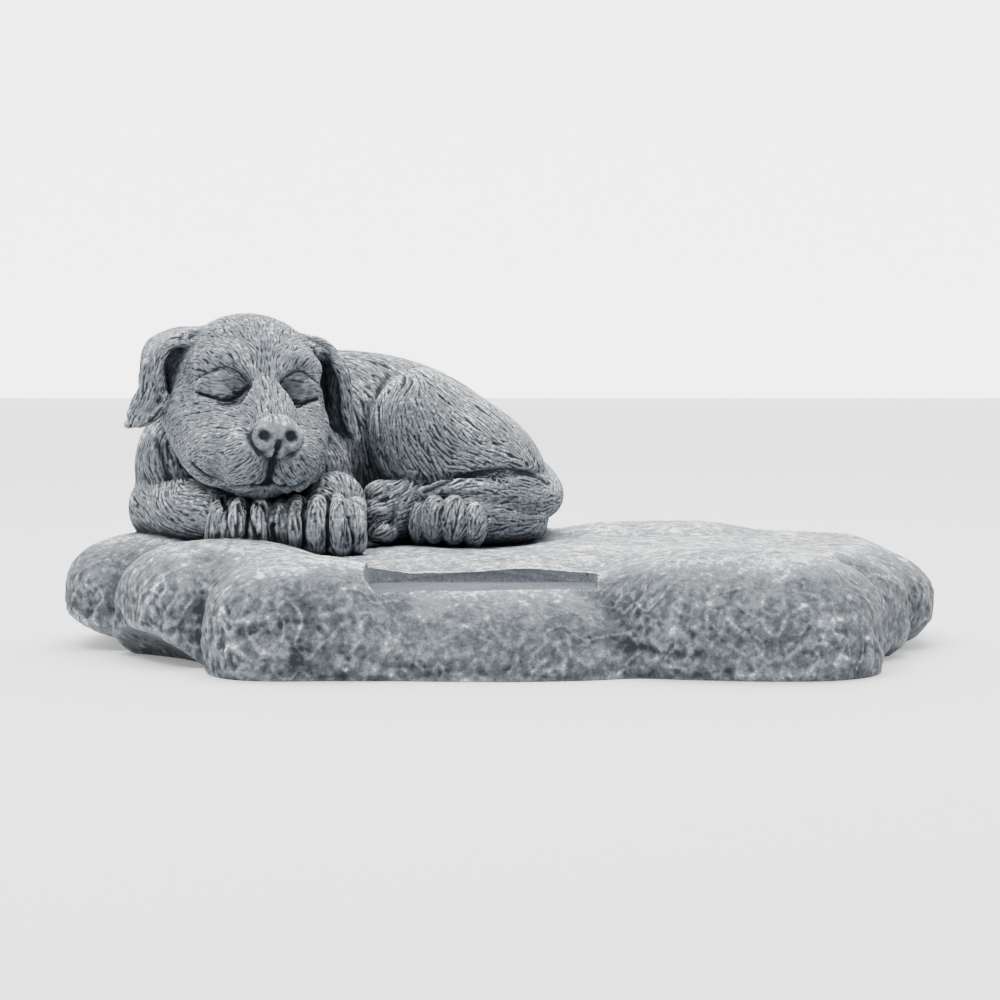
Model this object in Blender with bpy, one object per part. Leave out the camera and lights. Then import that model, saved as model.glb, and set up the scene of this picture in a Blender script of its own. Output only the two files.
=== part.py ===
# Pet memorial statue: a sleeping dog curled up on a rough stone, cast in one piece.
# Metres, +Z up. The front looks towards -Y, and the origin is on the ground under the
# middle of the stone.

import math

import bmesh
import bpy
import numpy as np
import openvdb
from mathutils import Euler, Matrix, Vector

# Driving dimensions, in metres
STONE_LENGTH = 0.2500
STONE_DEPTH = 0.1730
STONE_HEIGHT = 0.0280
STONE_TILT = math.radians(1.0)
DOG_LENGTH = 0.1230

RECESS_LENGTH = 0.0620
RECESS_DEPTH = 0.0360
RECESS_DROP = 0.0056
RECESS_X = -0.0050
RECESS_Y = -0.0590
RECESS_CORNER = 0.0040

# How finely the clay is sampled, and how many triangles are kept
STEP = 0.0011
TRIANGLES = 9600

# The carving is laid out in small units: the dog is 123 of them long, the stone 250
# long, 173 deep and 28 high, so a unit is a millimetre at the real size.
DOG_UNIT = DOG_LENGTH / 123
STONE_UNIT = Vector((STONE_LENGTH / 250, STONE_DEPTH / 173, STONE_HEIGHT / 28))

# Where the dog lies on the stone, in stone units, and its head in dog units
DOG_X, DOG_Y = -45, 25
HEAD_AT = (-28.0, -16.0, 43.5)
HEAD_TURN = Euler((math.radians(2), math.radians(4), math.radians(16.5)), "ZYX")


def on_stone(x, y, z):
    """A point of the stone, in metres, from stone units."""
    return Vector((x * STONE_UNIT.x, y * STONE_UNIT.y, z * STONE_UNIT.z))


def on_dog(x, y, z):
    """A point of the dog, in metres: dog units from the dog's place on the stone."""
    return on_stone(DOG_X, DOG_Y, 28) + Vector((x, y, z)) * DOG_UNIT


def on_head(x, y, z):
    """A point of the head, in metres: dog units from the middle of the head."""
    turned = HEAD_TURN.to_matrix() @ Vector((x, y, z))
    return on_dog(*(Vector(HEAD_AT) + turned))


def smooth_path(points, count):
    """Evenly numbered points of a Catmull-Rom curve through these ones."""
    points = [np.array(p, float) for p in points]
    ends = [2 * points[0] - points[1], *points, 2 * points[-1] - points[-2]]
    path = []
    for step in np.linspace(0, len(points) - 1, count):
        i = min(int(step), len(points) - 2)
        t = step - i
        a, b, c, d = ends[i : i + 4]
        bend = (2 * a - 5 * b + 4 * c - d) * t**2 + (3 * b - a - 3 * c + d) * t**3
        path.append(b + 0.5 * ((c - a) * t + bend))
    return path


def merged(a, b, ease):
    """The distance to two shapes as one, their meeting rounded over about the length ease."""
    ease = max(ease, 1e-6)
    share = np.maximum(ease - np.abs(a - b), 0) / ease
    return np.minimum(a, b) - share * share * ease / 4


class Clay:
    """A block of space that holds the distance to a surface: below 0 inside, above 0 outside."""

    def __init__(self, low, high):
        self.first = np.floor(np.array(low) / STEP).astype(int)
        self.count = np.ceil(np.array(high) / STEP).astype(int) - self.first
        self.field = np.full(self.count, 1.0, np.float32)

    def block(self, middle, reach):
        """The grid points within reach of a middle, as slices and as x, y and z."""
        middle = np.array(middle)
        low = np.clip(np.floor((middle - reach) / STEP).astype(int) - self.first, 0, self.count)
        high = np.clip(np.ceil((middle + reach) / STEP).astype(int) - self.first, 0, self.count)
        axes = [(np.arange(a, b) + f) * STEP for a, b, f in zip(low, high, self.first)]
        return tuple(slice(a, b) for a, b in zip(low, high)), np.meshgrid(*axes, indexing="ij", sparse=True)

    def lay(self, place, distance, ease, cut=False):
        """Joins a shape to the clay, or cuts it out."""
        old = self.field[place]
        if cut:
            self.field[place] = -merged(-old, distance, ease)
        else:
            self.field[place] = merged(old, distance, ease)

    def ball(self, centre, radii, ease=0.0, turn=None, power=2.0, cut=False):
        """An egg shape with these half sizes. A higher power makes it squarer."""
        reach = max(radii) * (1.0 if power == 2 else 1.3) + ease + 3 * STEP
        place, grid = self.block(centre, reach)
        turn = np.array(turn) if turn is not None else np.eye(3)
        sizes = []
        for axis in range(3):
            flat = sum(turn[k][axis] * (grid[k] - centre[k]) for k in range(3))
            sizes.append(np.abs(flat) / radii[axis] + 1e-6)
        size = sum(s**power for s in sizes) ** (1 / power)
        slope = np.sqrt(sum(((s / size) ** (power - 1) / r) ** 2 for s, r in zip(sizes, radii)))
        self.lay(place, (size - 1) / slope, ease, cut)

    def strip(self, points, widths, thick, ease=0.0, across=None, count=24):
        """Clay along a smooth path: round, or flat and as wide as widths towards across."""
        rows = smooth_path([(*p, w) for p, w in zip(points, widths)], count)
        low = np.min(rows, axis=0)[:3]
        high = np.max(rows, axis=0)[:3]
        reach = (high - low) / 2 + max(widths) + ease + 3 * STEP
        place, (x, y, z) = self.block((low + high) / 2, reach)
        nearest = np.full(np.broadcast_shapes(x.shape, y.shape, z.shape), 1.0)
        for a, b in zip(rows[:-1], rows[1:]):
            along = b[:3] - a[:3]
            share = (x - a[0]) * along[0] + (y - a[1]) * along[1] + (z - a[2]) * along[2]
            share = np.clip(share / (along @ along), 0, 1)
            gaps = [axis - a[k] - share * along[k] for k, axis in enumerate((x, y, z))]
            width = a[3] + share * (b[3] - a[3])
            total = sum(gap * gap for gap in gaps)
            if across is None:
                nearest = np.minimum(nearest, np.sqrt(total) - width)
                continue
            line = Vector(along).normalized()
            side = (across - line * across.dot(line)).normalized()
            sideways = sum(gap * s for gap, s in zip(gaps, side))
            over = np.maximum(np.abs(sideways) - np.maximum(width - thick, 0), 0)
            rest = np.maximum(total - sideways * sideways, 0)
            nearest = np.minimum(nearest, np.sqrt(rest + over * over) - thick)
        self.lay(place, nearest, ease)

    def roll(self, points, radii, ease=0.0, count=24):
        """A tapered roll of clay along a smooth path."""
        self.strip(points, radii, 0, ease, None, count)

    def join(self, other, ease):
        """Joins another block of clay to this one."""
        low = np.maximum(other.first - self.first, 0)
        high = np.minimum(other.first + other.count - self.first, self.count)
        here = tuple(slice(a, b) for a, b in zip(low, high))
        shift = self.first - other.first
        there = tuple(slice(a + s, b + s) for a, b, s in zip(low, high, shift))
        self.field[here] = merged(self.field[here], other.field[there], ease)

    def depth_at(self, point):
        """The distance held at a point, and the way out of the clay there."""
        at = np.array(point) / STEP - self.first
        cell = np.clip(np.floor(at).astype(int), 0, self.count - 2)
        t = np.clip(at - cell, 0, 1)
        cube = self.field[tuple(slice(c, c + 2) for c in cell)]
        ends = [np.array([1 - s, s]) for s in t]
        depth = np.einsum("abc,a,b,c", cube, *ends)
        slope = np.zeros(3)
        for axis in range(3):
            weights = list(ends)
            weights[axis] = np.array([-1.0, 1.0])
            slope[axis] = np.einsum("abc,a,b,c", cube, *weights)
        return depth, slope / (np.linalg.norm(slope) + 1e-9)

    def settled(self, point):
        """The point moved onto the surface, and the way out of the clay there."""
        point = np.array(point, float)
        for _ in range(4):
            depth, out = self.depth_at(point)
            point = point - np.clip(depth, -0.004, 0.004) * out
        return point, out

    def groove(self, points, width, depth, count=14):
        """Presses a rounded groove along a path on the surface. A depth below 0 raises a ridge."""
        path, outs = zip(*[self.settled(p) for p in smooth_path(points, count)])
        path, outs = np.array(path), np.array(outs)
        for _ in range(3):
            path[1:-1] = (path[:-2] + 2 * path[1:-1] + path[2:]) / 4
            outs[1:-1] = (outs[:-2] + 2 * outs[1:-1] + outs[2:]) / 4
        low, high = np.min(path, axis=0), np.max(path, axis=0)
        reach = (high - low) / 2 + 3 * width + abs(depth)
        place, (x, y, z) = self.block((low + high) / 2, reach)
        nearest = np.full(np.broadcast_shapes(x.shape, y.shape, z.shape), 1.0)
        for share_of_depth in (0, 0.5, 1):
            deeper = path - outs * depth * share_of_depth
            for a, b in zip(deeper[:-1], deeper[1:]):
                along = b - a
                share = (x - a[0]) * along[0] + (y - a[1]) * along[1] + (z - a[2]) * along[2]
                share = np.clip(share / (along @ along + 1e-12), 0, 1)
                gap = sum((axis - a[k] - share * along[k]) ** 2 for k, axis in enumerate((x, y, z)))
                nearest = np.minimum(nearest, gap)
        self.field[place] += depth * np.exp(-nearest / width**2)

    def press(self, point, width, depth):
        """Presses a hollow round a point, or raises a bump if depth is below 0."""
        self.groove([point, Vector(point) + Vector((1e-6, 0, 0))], width, depth, 2)

    def chisel(self, point, normal, width):
        """Strikes off what stands out beyond a broad flat face of about this width."""
        normal = Vector(normal).normalized()
        place, grid = self.block(point, 2 * width)
        offset = [grid[k] - point[k] for k in range(3)]
        out = sum(o * n for o, n in zip(offset, normal))
        sideways = sum(o * o for o in offset) - out * out
        self.field[place] = -merged(-self.field[place], -(out - 0.22 * sideways / width), 0.0015)

    def roughen(self, size, amount, seed):
        """Bumps of about this size and height, all over."""
        random = np.random.default_rng(seed)
        weights = []
        for first, count in zip(self.first, self.count):
            at = (np.arange(count) + first + 1000) * STEP / size
            cell = np.floor(at).astype(int)
            t = at - cell
            cell -= cell.min()
            rows = np.zeros((count, cell.max() + 4), np.float32)
            parts = ((1 - t) ** 3, 3 * t**3 - 6 * t**2 + 4, -3 * t**3 + 3 * t**2 + 3 * t + 1, t**3)
            for k, part in enumerate(parts):
                rows[np.arange(count), cell + k] = part / 6
            weights.append(rows)
        knots = random.uniform(-1, 1, [w.shape[1] for w in weights]).astype(np.float32)
        bumps = np.einsum("abc,xa->xbc", knots, weights[0], optimize=True)
        bumps = np.einsum("xbc,yb->xyc", bumps, weights[1], optimize=True)
        bumps = np.einsum("xyc,zc->xyz", bumps, weights[2], optimize=True)
        self.field += bumps * amount * 2

    def surface(self, name):
        """The clay's skin as a mesh object."""
        grid = openvdb.FloatGrid(3 * STEP)
        grid.copyFromArray(np.clip(self.field, -3 * STEP, 3 * STEP))
        points, quads = grid.convertToQuads(isovalue=0.0)
        points = (points + self.first) * STEP
        mesh = bpy.data.meshes.new(name)
        mesh.from_pydata(points.tolist(), [], quads.tolist())
        shape = bmesh.new()
        shape.from_mesh(mesh)
        bmesh.ops.recalc_face_normals(shape, faces=shape.faces)
        shape.to_mesh(mesh)
        shape.free()
        thing = bpy.data.objects.new(name, mesh)
        bpy.context.scene.collection.objects.link(thing)
        return thing


# The stone

SLAB_OUTLINE = [
    (-66, -60), (-30, -60), (40, -60), (84, -58), (98, -30), (108, 8), (106, 44),
    (78, 66), (20, 72), (-40, 72), (-88, 62), (-106, 25), (-94, -14), (-80, -42),
]

# Boulders round the rim: middle, half sizes in stone units, and turn in degrees
BOULDERS = [
    ((-50, -58, 8), (30, 27, 22.5), 10),
    ((-4, -66, 5), (44, 20, 18.5), 0),
    ((64, -52, 9), (40, 33, 23.5), -8),
    ((-78, -26, 12), (27, 30, 20.5), 30),
    ((-99, 20, 14), (24.4, 34, 18.0), -12),
    ((-80, 54, 13), (32, 28, 17), 30),
    ((-24, 64, 11), (48, 21, 17), 4),
    ((48, 62, 12), (34, 23, 18.4), -8),
    ((94, 26, 12), (31, 40, 16.0), 6),
    ((84, -16, 12), (30, 32, 16.0), 0),
]

# Grooves in the stone: the path in stone units, and the width and depth in metres
STONE_GROOVES = [
    # The plateau dips towards the recess, and so does the rim before it
    ([(-34, -46, 28), (-5, -47, 28), (24, -46, 28)], 0.014, 0.0027),
    ([(-25, -78, 24), (0, -79, 24), (28, -78, 24)], 0.010, 0.0030),
    ([(-22, -86, 19), (4, -87, 15), (30, -86, 19)], 0.010, 0.0030),
    # Furrows between the boulders
    ([(-79, -48, 30), (-80, -54, 16), (-76, -56, 2)], 0.005, 0.0020),
    ([(-96, -12, 31), (-104, -12, 18), (-100, -10, 6)], 0.005, 0.0016),
    ([(96, -40, 27), (105, -34, 14), (106, -30, 2)], 0.006, 0.0020),
]

# Broad faces, as if struck off: a point in stone units, the way it faces, and its width in metres
STRUCK_FACES = [
    ((115, 25, 25), (1, 0, 0.9), 0.040),
    ((126, 22, 13), (1, 0.1, -0.2), 0.040),
    ((117, 25, 3), (0.8, 0, -1), 0.040),
    ((102.5, -55, 14), (1, -0.1, -0.05), 0.030),
    ((-107, 10, 6), (-0.45, 0.05, -1), 0.050),
    ((-90, -40, 4), (-0.6, -0.3, -1), 0.040),
    ((60, -85, 12), (0.1, -1, 0.05), 0.050),
    ((-50, -85, 12), (-0.1, -1, 0.15), 0.040),
]


def slab(clay):
    """The flat middle of the stone, which everything stands on."""
    outline = np.array(smooth_path([*SLAB_OUTLINE, SLAB_OUTLINE[0]], 57)) * STONE_UNIT.xy
    place, (x, y, z) = clay.block((0, 0, 0), 1.0)
    edge = np.full(np.broadcast_shapes(x.shape, y.shape), 1.0)
    inside = np.zeros(edge.shape, bool)
    for a, b in zip(outline[:-1], outline[1:]):
        along = b - a
        share = np.clip(((x - a[0]) * along[0] + (y - a[1]) * along[1]) / (along @ along), 0, 1)
        edge = np.minimum(edge, np.hypot(x - a[0] - share * along[0], y - a[1] - share * along[1]))
        crosses = (a[1] > y) != (b[1] > y)
        inside ^= crosses & (x < a[0] + (y - a[1]) * along[0] / (along[1] or 1e-9))
    edge = np.where(inside, -edge, edge)
    rounding = 0.006
    out = edge + rounding
    half = STONE_HEIGHT * 0.62
    up = np.abs(z - y * math.tan(STONE_TILT) - STONE_HEIGHT + half) - half + rounding
    distance = np.minimum(np.maximum(out, up), 0) + np.hypot(np.maximum(out, 0), np.maximum(up, 0))
    clay.lay(place, distance - rounding, 0)


def stone():
    clay = Clay((-0.140, -0.100, -0.006), (0.140, 0.100, 0.042))
    slab(clay)
    for middle, halves, turn in BOULDERS:
        radii = [half * unit for half, unit in zip(halves, STONE_UNIT)]
        clay.ball(on_stone(*middle), radii, 0.0075, Matrix.Rotation(math.radians(turn), 3, "Z"), 2.7)
    for points, width, depth in STONE_GROOVES:
        clay.groove([on_stone(*p) for p in points], width, depth)
    for point, normal, width in STRUCK_FACES:
        clay.chisel(on_stone(*point), normal, width)
    clay.roughen(0.020, 0.0011, 4)
    clay.roughen(0.009, 0.0005, 5)
    return clay


# The dog


def dog_block(low, high):
    """An empty block of clay between two corners in dog units."""
    return Clay(on_dog(*low), on_dog(*high))


def sized(*radii):
    return [r * DOG_UNIT for r in radii]


def torso():
    clay = dog_block((-68, -30, -6), (66, 66, 66))
    ease = 9 * DOG_UNIT
    clay.ball(on_dog(-4, 29, 20), sized(54, 26, 35.5), ease)
    clay.ball(on_dog(-27, 12, 26), sized(24, 21, 27), ease)
    clay.ball(on_dog(-47.5, 0, 22), sized(14, 15, 19), ease)
    clay.ball(on_dog(-12, -8, 18), sized(14, 14, 15), ease)
    # The line between neck and shoulder
    line = [on_dog(-50, -12, 37), on_dog(-47.5, -14, 30), on_dog(-46, -16, 24)]
    clay.groove(line, 1.6 * DOG_UNIT, 1.8 * DOG_UNIT)
    return clay


def haunch():
    clay = dog_block((-6, -32, -6), (70, 56, 62))
    ease = 7 * DOG_UNIT
    turn = Matrix.Rotation(math.radians(40), 3, "Y")
    clay.ball(on_dog(31.5, 8, 24), sized(28, 22, 19.5), ease, turn)
    clay.ball(on_dog(21, 4, 32), sized(10.5, 17, 18.5), ease)
    clay.ball(on_dog(40, 20, 14), sized(19, 24, 22), ease)
    clay.ball(on_dog(46, 27, 4), sized(12, 17, 10), ease)
    return clay


def front_legs():
    clay = dog_block((-72, -54, -6), (20, 12, 30))
    ease = 4 * DOG_UNIT
    left = [on_dog(-52, -4, 10.5), on_dog(-44, -17, 9.5), on_dog(-34, -27, 9.5)]
    clay.roll(left, sized(11, 10, 9.0), ease)
    clay.ball(on_dog(-26, -28, 8.5), sized(9.5, 8.5, 8.3), ease)
    clay.roll([on_dog(-6, -6, 13), on_dog(-2.5, -21, 13)], sized(9.5, 8.8), ease)
    clay.ball(on_dog(-4, -28, 8.5), sized(9.2, 8.5, 8.3), ease)
    return clay


# Toes of the front paws: middle across the paw, half width and how far back, in dog units
FRONT_TOES = [
    (-33.9, 2.7, 3.2), (-28.6, 3.5, 0.4), (-22.2, 3.3, 0.0), (-17.2, 2.5, 1.8),
    (-12.6, 3.2, 1.0), (-6.5, 3.2, 0.0), (-0.2, 3.3, 0.6), (4.4, 2.6, 3.2),
]


def front_toes():
    clay = dog_block((-46, -56, -6), (18, -14, 26))
    for x, r, back in FRONT_TOES:
        path = [
            (x * 0.93 - 1, -27, 12.0), (x, -34.5 + back, 13.0), (x, -40.8 + back, 11.4),
            (x * 1.02, -43.8 + back, 7.2), (x * 1.03, -43.4 + back, 2.6),
        ]
        radii = sized(r * 0.9, r * 0.95, r * 1.05, r * 1.14, r * 1.12)
        clay.roll([on_dog(*p) for p in path], radii, 0.3 * DOG_UNIT, 20)
    return clay


def hind_paws():
    clay = dog_block((-12, -36, -6), (66, 26, 28))
    ease = 2.2 * DOG_UNIT
    # The far foot, its toes to the left
    clay.roll([on_dog(30, 4, 13), on_dog(20, -5, 12.5)], sized(8, 8.5), ease)
    clay.ball(on_dog(15, -8, 10), sized(7, 7.5, 8.5), ease)
    for x, y, z, r in ((10.8, -9, 15.0, 4.2), (9.4, -12, 9.6, 4.4), (10.8, -13, 4.2, 3.9)):
        clay.ball(on_dog(x, y, z), sized(r * 1.25, r * 1.15, r * 0.9), 1.0 * DOG_UNIT)
    gap = [on_dog(16, -17, 16), on_dog(15, -18.5, 9), on_dog(16, -18, 3)]
    clay.groove(gap, 1.0 * DOG_UNIT, 0.9 * DOG_UNIT)
    # The near foot lies along the stone under the tail
    clay.roll([on_dog(52, 4, 6), on_dog(42, -7, 7.5), on_dog(34, -12, 8.5)], sized(6.5, 7.4, 8.0), ease)
    toes = [(22.3, -13.5, 6.5, 3.8), (26.2, -17.5, 8.0, 4.2), (31.6, -19, 7.8, 4.3), (37.2, -18, 6.4, 3.9)]
    for x, y, z, r in toes:
        clay.ball(on_dog(x, y, z), sized(r, r * 1.25, r * 1.7), 0.8 * DOG_UNIT)
    return clay


def tail():
    clay = dog_block((4, -36, -2), (74, 54, 40))
    path = [
        (44, 40, 22), (54, 35, 17), (57.5, 19, 12.5), (51, 2, 12.4), (41, -9, 14.8), (31, -14, 16.6),
        (23, -17, 15.8),
    ]
    clay.roll([on_dog(*p) for p in path], sized(7, 6.4, 6.2, 6.2, 5.2, 3.7, 1.6), 0, 44)
    return clay


def head():
    clay = Clay(on_dog(-66, -70, 8), on_dog(12, 18, 72))
    lips = Clay(on_dog(-66, -70, 8), on_dog(12, 18, 72))
    nose = Clay(on_dog(-66, -70, 8), on_dog(12, 18, 72))

    def ball(x, y, z, rx, ry, rz, ease, cut=False, block=clay):
        turn = HEAD_TURN.to_matrix()
        block.ball(on_head(x, y, z), sized(rx, ry, rz), ease * DOG_UNIT, turn, cut=cut)

    def roll(points, radii, ease):
        clay.roll([on_head(*p) for p in points], sized(*radii), ease * DOG_UNIT)

    def groove(points, width, depth):
        clay.groove([on_head(*p) for p in points], width * DOG_UNIT, depth * DOG_UNIT)

    ball(0, 3, 1.5, 20.5, 21, 21, 0)
    ball(0, -4, 10, 17.5, 15, 12.4, 6)
    roll([(0, -13, 3), (0.5, -24, -2.5), (1, -33, -7.5)], (9.8, 8.6, 6.8), 8)
    for side in (-1, 1):
        ball(side * 11.8, -4, -8, 11.5, 14.5, 13, 7)
        ball(side * 9.0, -14, -17, 10.5, 12, 8, 6)
        # The brow swells over the hollow of the eye, and runs down beside the bridge of the nose
        brow = [(4.2, -19.0, 5.0), (5.8, -18.0, 9.5), (10.5, -16.6, 11.8), (16, -12.0, 9.5)]
        roll([(side * x, y, z) for x, y, z in brow], (2.0, 2.8, 3.0, 2.4), 5)
        ball(side * 10.6, -22.4, 3.0, 7.4, 4.0, 5.4, 3.5, cut=True)
        # Behind the ear, where the neck begins
        ball(side * 17, 8, 1, 8, 7.5, 14, 4)
        # Cheek bone
        ball(side * 14.0, -13.5, -7, 6.5, 5.5, 4.5, 5)
        # The side of the muzzle
        ball(side * 9.5, -21, -12, 8.5, 9, 9, 6)
    # The jaw lies behind the lips, which hang over it on both sides of the split under the nose
    ball(0, -19.5, -23.5, 8.5, 9, 4.5, 3)
    for side in (-1, 1):
        ball(side * 12.0, -19.5, -14.5, 6.5, 9.5, 8.0, 4)
        ball(side * 6.9 + 0.8, -28.6, -15.0, 7.6, 9.4, 9.6, 0.5, block=lips)
    clay.join(lips, 2.6 * DOG_UNIT)
    ball(1, -37.0, -6.7, 6.0, 5.0, 4.9, 0, block=nose)
    ball(1, -36.6, -11.3, 3.6, 4.4, 3.0, 1.5, block=nose)
    for side in (-1, 1):
        ball(side * 4.0 + 1, -38.6, -8.1, 3.0, 3.7, 3.8, 1.6, block=nose)
    clay.join(nose, 0.8 * DOG_UNIT)
    for side in (-1, 1):
        # The closed lids, a fold above them and the slit between them
        ball(side * 10.6, -14.0, 4.0, 7.2, 5.2, 5.2, 3.0)
        ball(side * 11.0, -14.7, -1.6, 6.6, 4.6, 3.4, 3.0)
        slit = [(4.6, -21, 3.8), (7.4, -21, 1.4), (11.4, -20, 0.2), (16.6, -16, 1.2)]
        groove([(side * x, y, z) for x, y, z in slit], 0.65, 1.4)
        fold = [(4.4, -20, 5.6), (7.4, -20, 8.3), (12, -18.5, 8.9), (17, -14, 4.6)]
        groove([(side * x, y, z) for x, y, z in fold], 0.9, 0.5)
        mouth = [
            (side * 0.6 + 0.8, -37, -23.6), (side * 5 + 0.8, -34, -25), (side * 10, -28, -24.6),
            (side * 15, -20, -21.8), (side * 19, -12.5, -19.5),
        ]
        groove(mouth, 0.9, 1.7)
        wing = [(side * 6.9 + 1, -37.5, -4.6), (side * 7.8 + 1, -35.5, -9), (side * 4.8 + 1, -37, -13)]
        groove(wing, 0.8, 0.8)
        # The nostril
        clay.press(on_head(side * 3.9 + 1, -42.5, -8.1), 1.25 * DOG_UNIT, 2.4 * DOG_UNIT)
    groove([(1, -42, -9.5), (1, -40, -14), (0.8, -38.5, -19), (0.8, -37, -23.5)], 0.8, 1.5)
    groove([(-0.6, -12, 21), (0, -19, 13), (-0.3, -21, 8)], 1.7, 0.7)
    return clay


def ears():
    clay = Clay(on_dog(-78, -46, 20), on_dog(24, 22, 78))
    u = DOG_UNIT

    def flat(points, widths, thick, ease, across, count):
        across = HEAD_TURN.to_matrix() @ Vector(across)
        clay.strip([on_head(*p) for p in points], sized(*widths), thick * u, ease * u, across, count)

    def ear(flap, widths, rim, radii, across):
        flat(flap, widths, 1.4, 0.8, across, 36)
        clay.roll([on_head(*p) for p in rim], sized(*radii), 1.0 * u, 36)

    # The ear at the left shows its outer face, its rim curled forward over the hollow
    flap = [
        (-13, 2, 17.5), (-20, 2.5, 16.4), (-26.3, 4, 12), (-27.3, 4.8, 4), (-27.8, 4, -3.5), (-31.5, 1, -9),
    ]
    rim = [
        (-13, -3.5, 16.5), (-17.2, -4.3, 14.6), (-22.8, -2.8, 13.8), (-25.8, -2, 8.5), (-24.8, -2.4, 1),
        (-23.6, -2.6, -3.2), (-28, -1.2, -7.6), (-33.6, 0.5, -9.8),
    ]
    ear(flap, (5, 6, 6.6, 6.6, 5.5, 2.5), rim, (1.1, 1.2, 1.2, 1.1, 1.1, 1.1, 1.2, 1.2), (-0.15, 0.99, 0))
    fold = [(-27.2, 1.5, 8), (-27, 1.0, 0), (-28.5, 0.6, -4.5), (-31.5, 0.4, -8)]
    flat(fold, (3.0, 4.2, 4.8, 3.2), 1.3, 1.2, (1, -0.25, 0.2), 24)
    # The ear at the right hangs beside the cheek, edge on, and turns out at its tip
    flap = [
        (13, 2, 17.5), (20, 2.0, 15.6), (25.4, 1.5, 9.2), (26.6, 1, 2), (27.4, 0.5, -4), (31.0, -1.5, -9.6),
    ]
    rim = [
        (13, -3.5, 16.5), (19, -4.6, 14.2), (25.6, -4.8, 9.2), (28.2, -5.0, 2), (28.9, -5.0, -4),
        (32.0, -4.6, -10.0),
    ]
    ear(flap, (5, 6, 6.8, 7.0, 6.2, 3.4), rim, (1.2, 1.6, 1.9, 2.0, 1.9, 1.5), (-0.38, 0.92, 0))
    return clay


def sculpt():
    """The whole figure in one block of clay, before the recess is cut."""
    clay = Clay((-0.140, -0.100, -0.004), (0.140, 0.100, 0.105))
    u = DOG_UNIT
    clay.join(torso(), 0)
    clay.join(haunch(), 1.2 * u)
    clay.join(hind_paws(), 1.0 * u)
    clay.join(tail(), 0.9 * u)
    clay.join(front_legs(), 1.6 * u)
    clay.join(front_toes(), 1.2 * u)
    clay.join(head(), 0.9 * u)
    clay.join(ears(), 1.0 * u)
    for (x, _, _), (other, _, back) in zip(FRONT_TOES, FRONT_TOES[1:]):
        gap = (x + other) / 2
        slit = [
            (gap * 0.95 - 0.5, -34 + back, 17.0), (gap, -40.5 + back, 15.4), (gap, -45, 9.5), (gap, -46, 2),
        ]
        clay.groove([on_dog(*p) for p in slit], 0.7 * u, 1.3 * u)
    # Where the thigh meets the flank
    crease = [(19, 8, 52), (12, 0, 45), (9.5, -4, 35), (11, -7, 24)]
    clay.groove([on_dog(*p) for p in crease], 1.8 * u, 1.4 * u)
    # Where the tail lies on the thigh
    crease = [(24, -15, 18.5), (32, -14, 20.5), (42, -10, 20.5), (52, 0, 19.5), (58, 14, 20)]
    clay.groove([on_dog(*p) for p in crease], 1.1 * u, 1.2 * u)
    clay.join(stone(), 0.9 * u)
    return clay


def object_of(name, shape):
    """A new object from a bmesh, which is freed."""
    mesh = bpy.data.meshes.new(name)
    shape.to_mesh(mesh)
    shape.free()
    thing = bpy.data.objects.new(name, mesh)
    bpy.context.scene.collection.objects.link(thing)
    return thing


def applied(thing):
    """The object with its modifiers turned into mesh."""
    graph = bpy.context.evaluated_depsgraph_get()
    thing.data = bpy.data.meshes.new_from_object(thing.evaluated_get(graph))
    thing.modifiers.clear()
    return thing


def cut_recess(thing):
    """The shallow pocket in the front of the stone, with a flat floor."""
    cutter = bpy.data.curves.new("recess_cutter", "CURVE")
    cutter.dimensions = "2D"
    cutter.fill_mode = "BOTH"
    rise = 0.0150  # well above the rim
    cutter.extrude = rise / 2
    line = cutter.splines.new("POLY")
    line.use_cyclic_u = True
    outline = []
    for corner in range(4):
        right, far = (1, 1, -1, -1)[corner], (-1, 1, 1, -1)[corner]
        centre_x = right * (RECESS_LENGTH / 2 - RECESS_CORNER)
        centre_y = far * (RECESS_DEPTH / 2 - RECESS_CORNER)
        for step in range(4):
            angle = math.radians(-90 + 90 * corner + 30 * step)
            x = centre_x + RECESS_CORNER * math.cos(angle)
            outline.append((x, centre_y + RECESS_CORNER * math.sin(angle)))
    line.points.add(len(outline) - 1)
    for point, (x, y) in zip(line.points, outline):
        point.co = (x, y, 0, 1)
    helper = bpy.data.objects.new("recess_cutter", cutter)
    bpy.context.scene.collection.objects.link(helper)
    floor = STONE_HEIGHT - RECESS_DROP
    helper.location = (RECESS_X, RECESS_Y, floor + rise / 2)
    bpy.context.view_layer.update()
    graph = bpy.context.evaluated_depsgraph_get()
    mesh = bpy.data.meshes.new_from_object(helper.evaluated_get(graph))
    mesh.transform(helper.matrix_world)
    shape = bmesh.new()
    shape.from_mesh(mesh)
    bmesh.ops.remove_doubles(shape, verts=shape.verts, dist=1e-6)
    bpy.data.objects.remove(helper)
    solid = object_of("recess_cutter", shape)
    cut = thing.modifiers.new("Recess", "BOOLEAN")
    cut.operation = "DIFFERENCE"
    cut.object = solid
    applied(thing)
    bpy.data.objects.remove(solid)
    return thing


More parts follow.
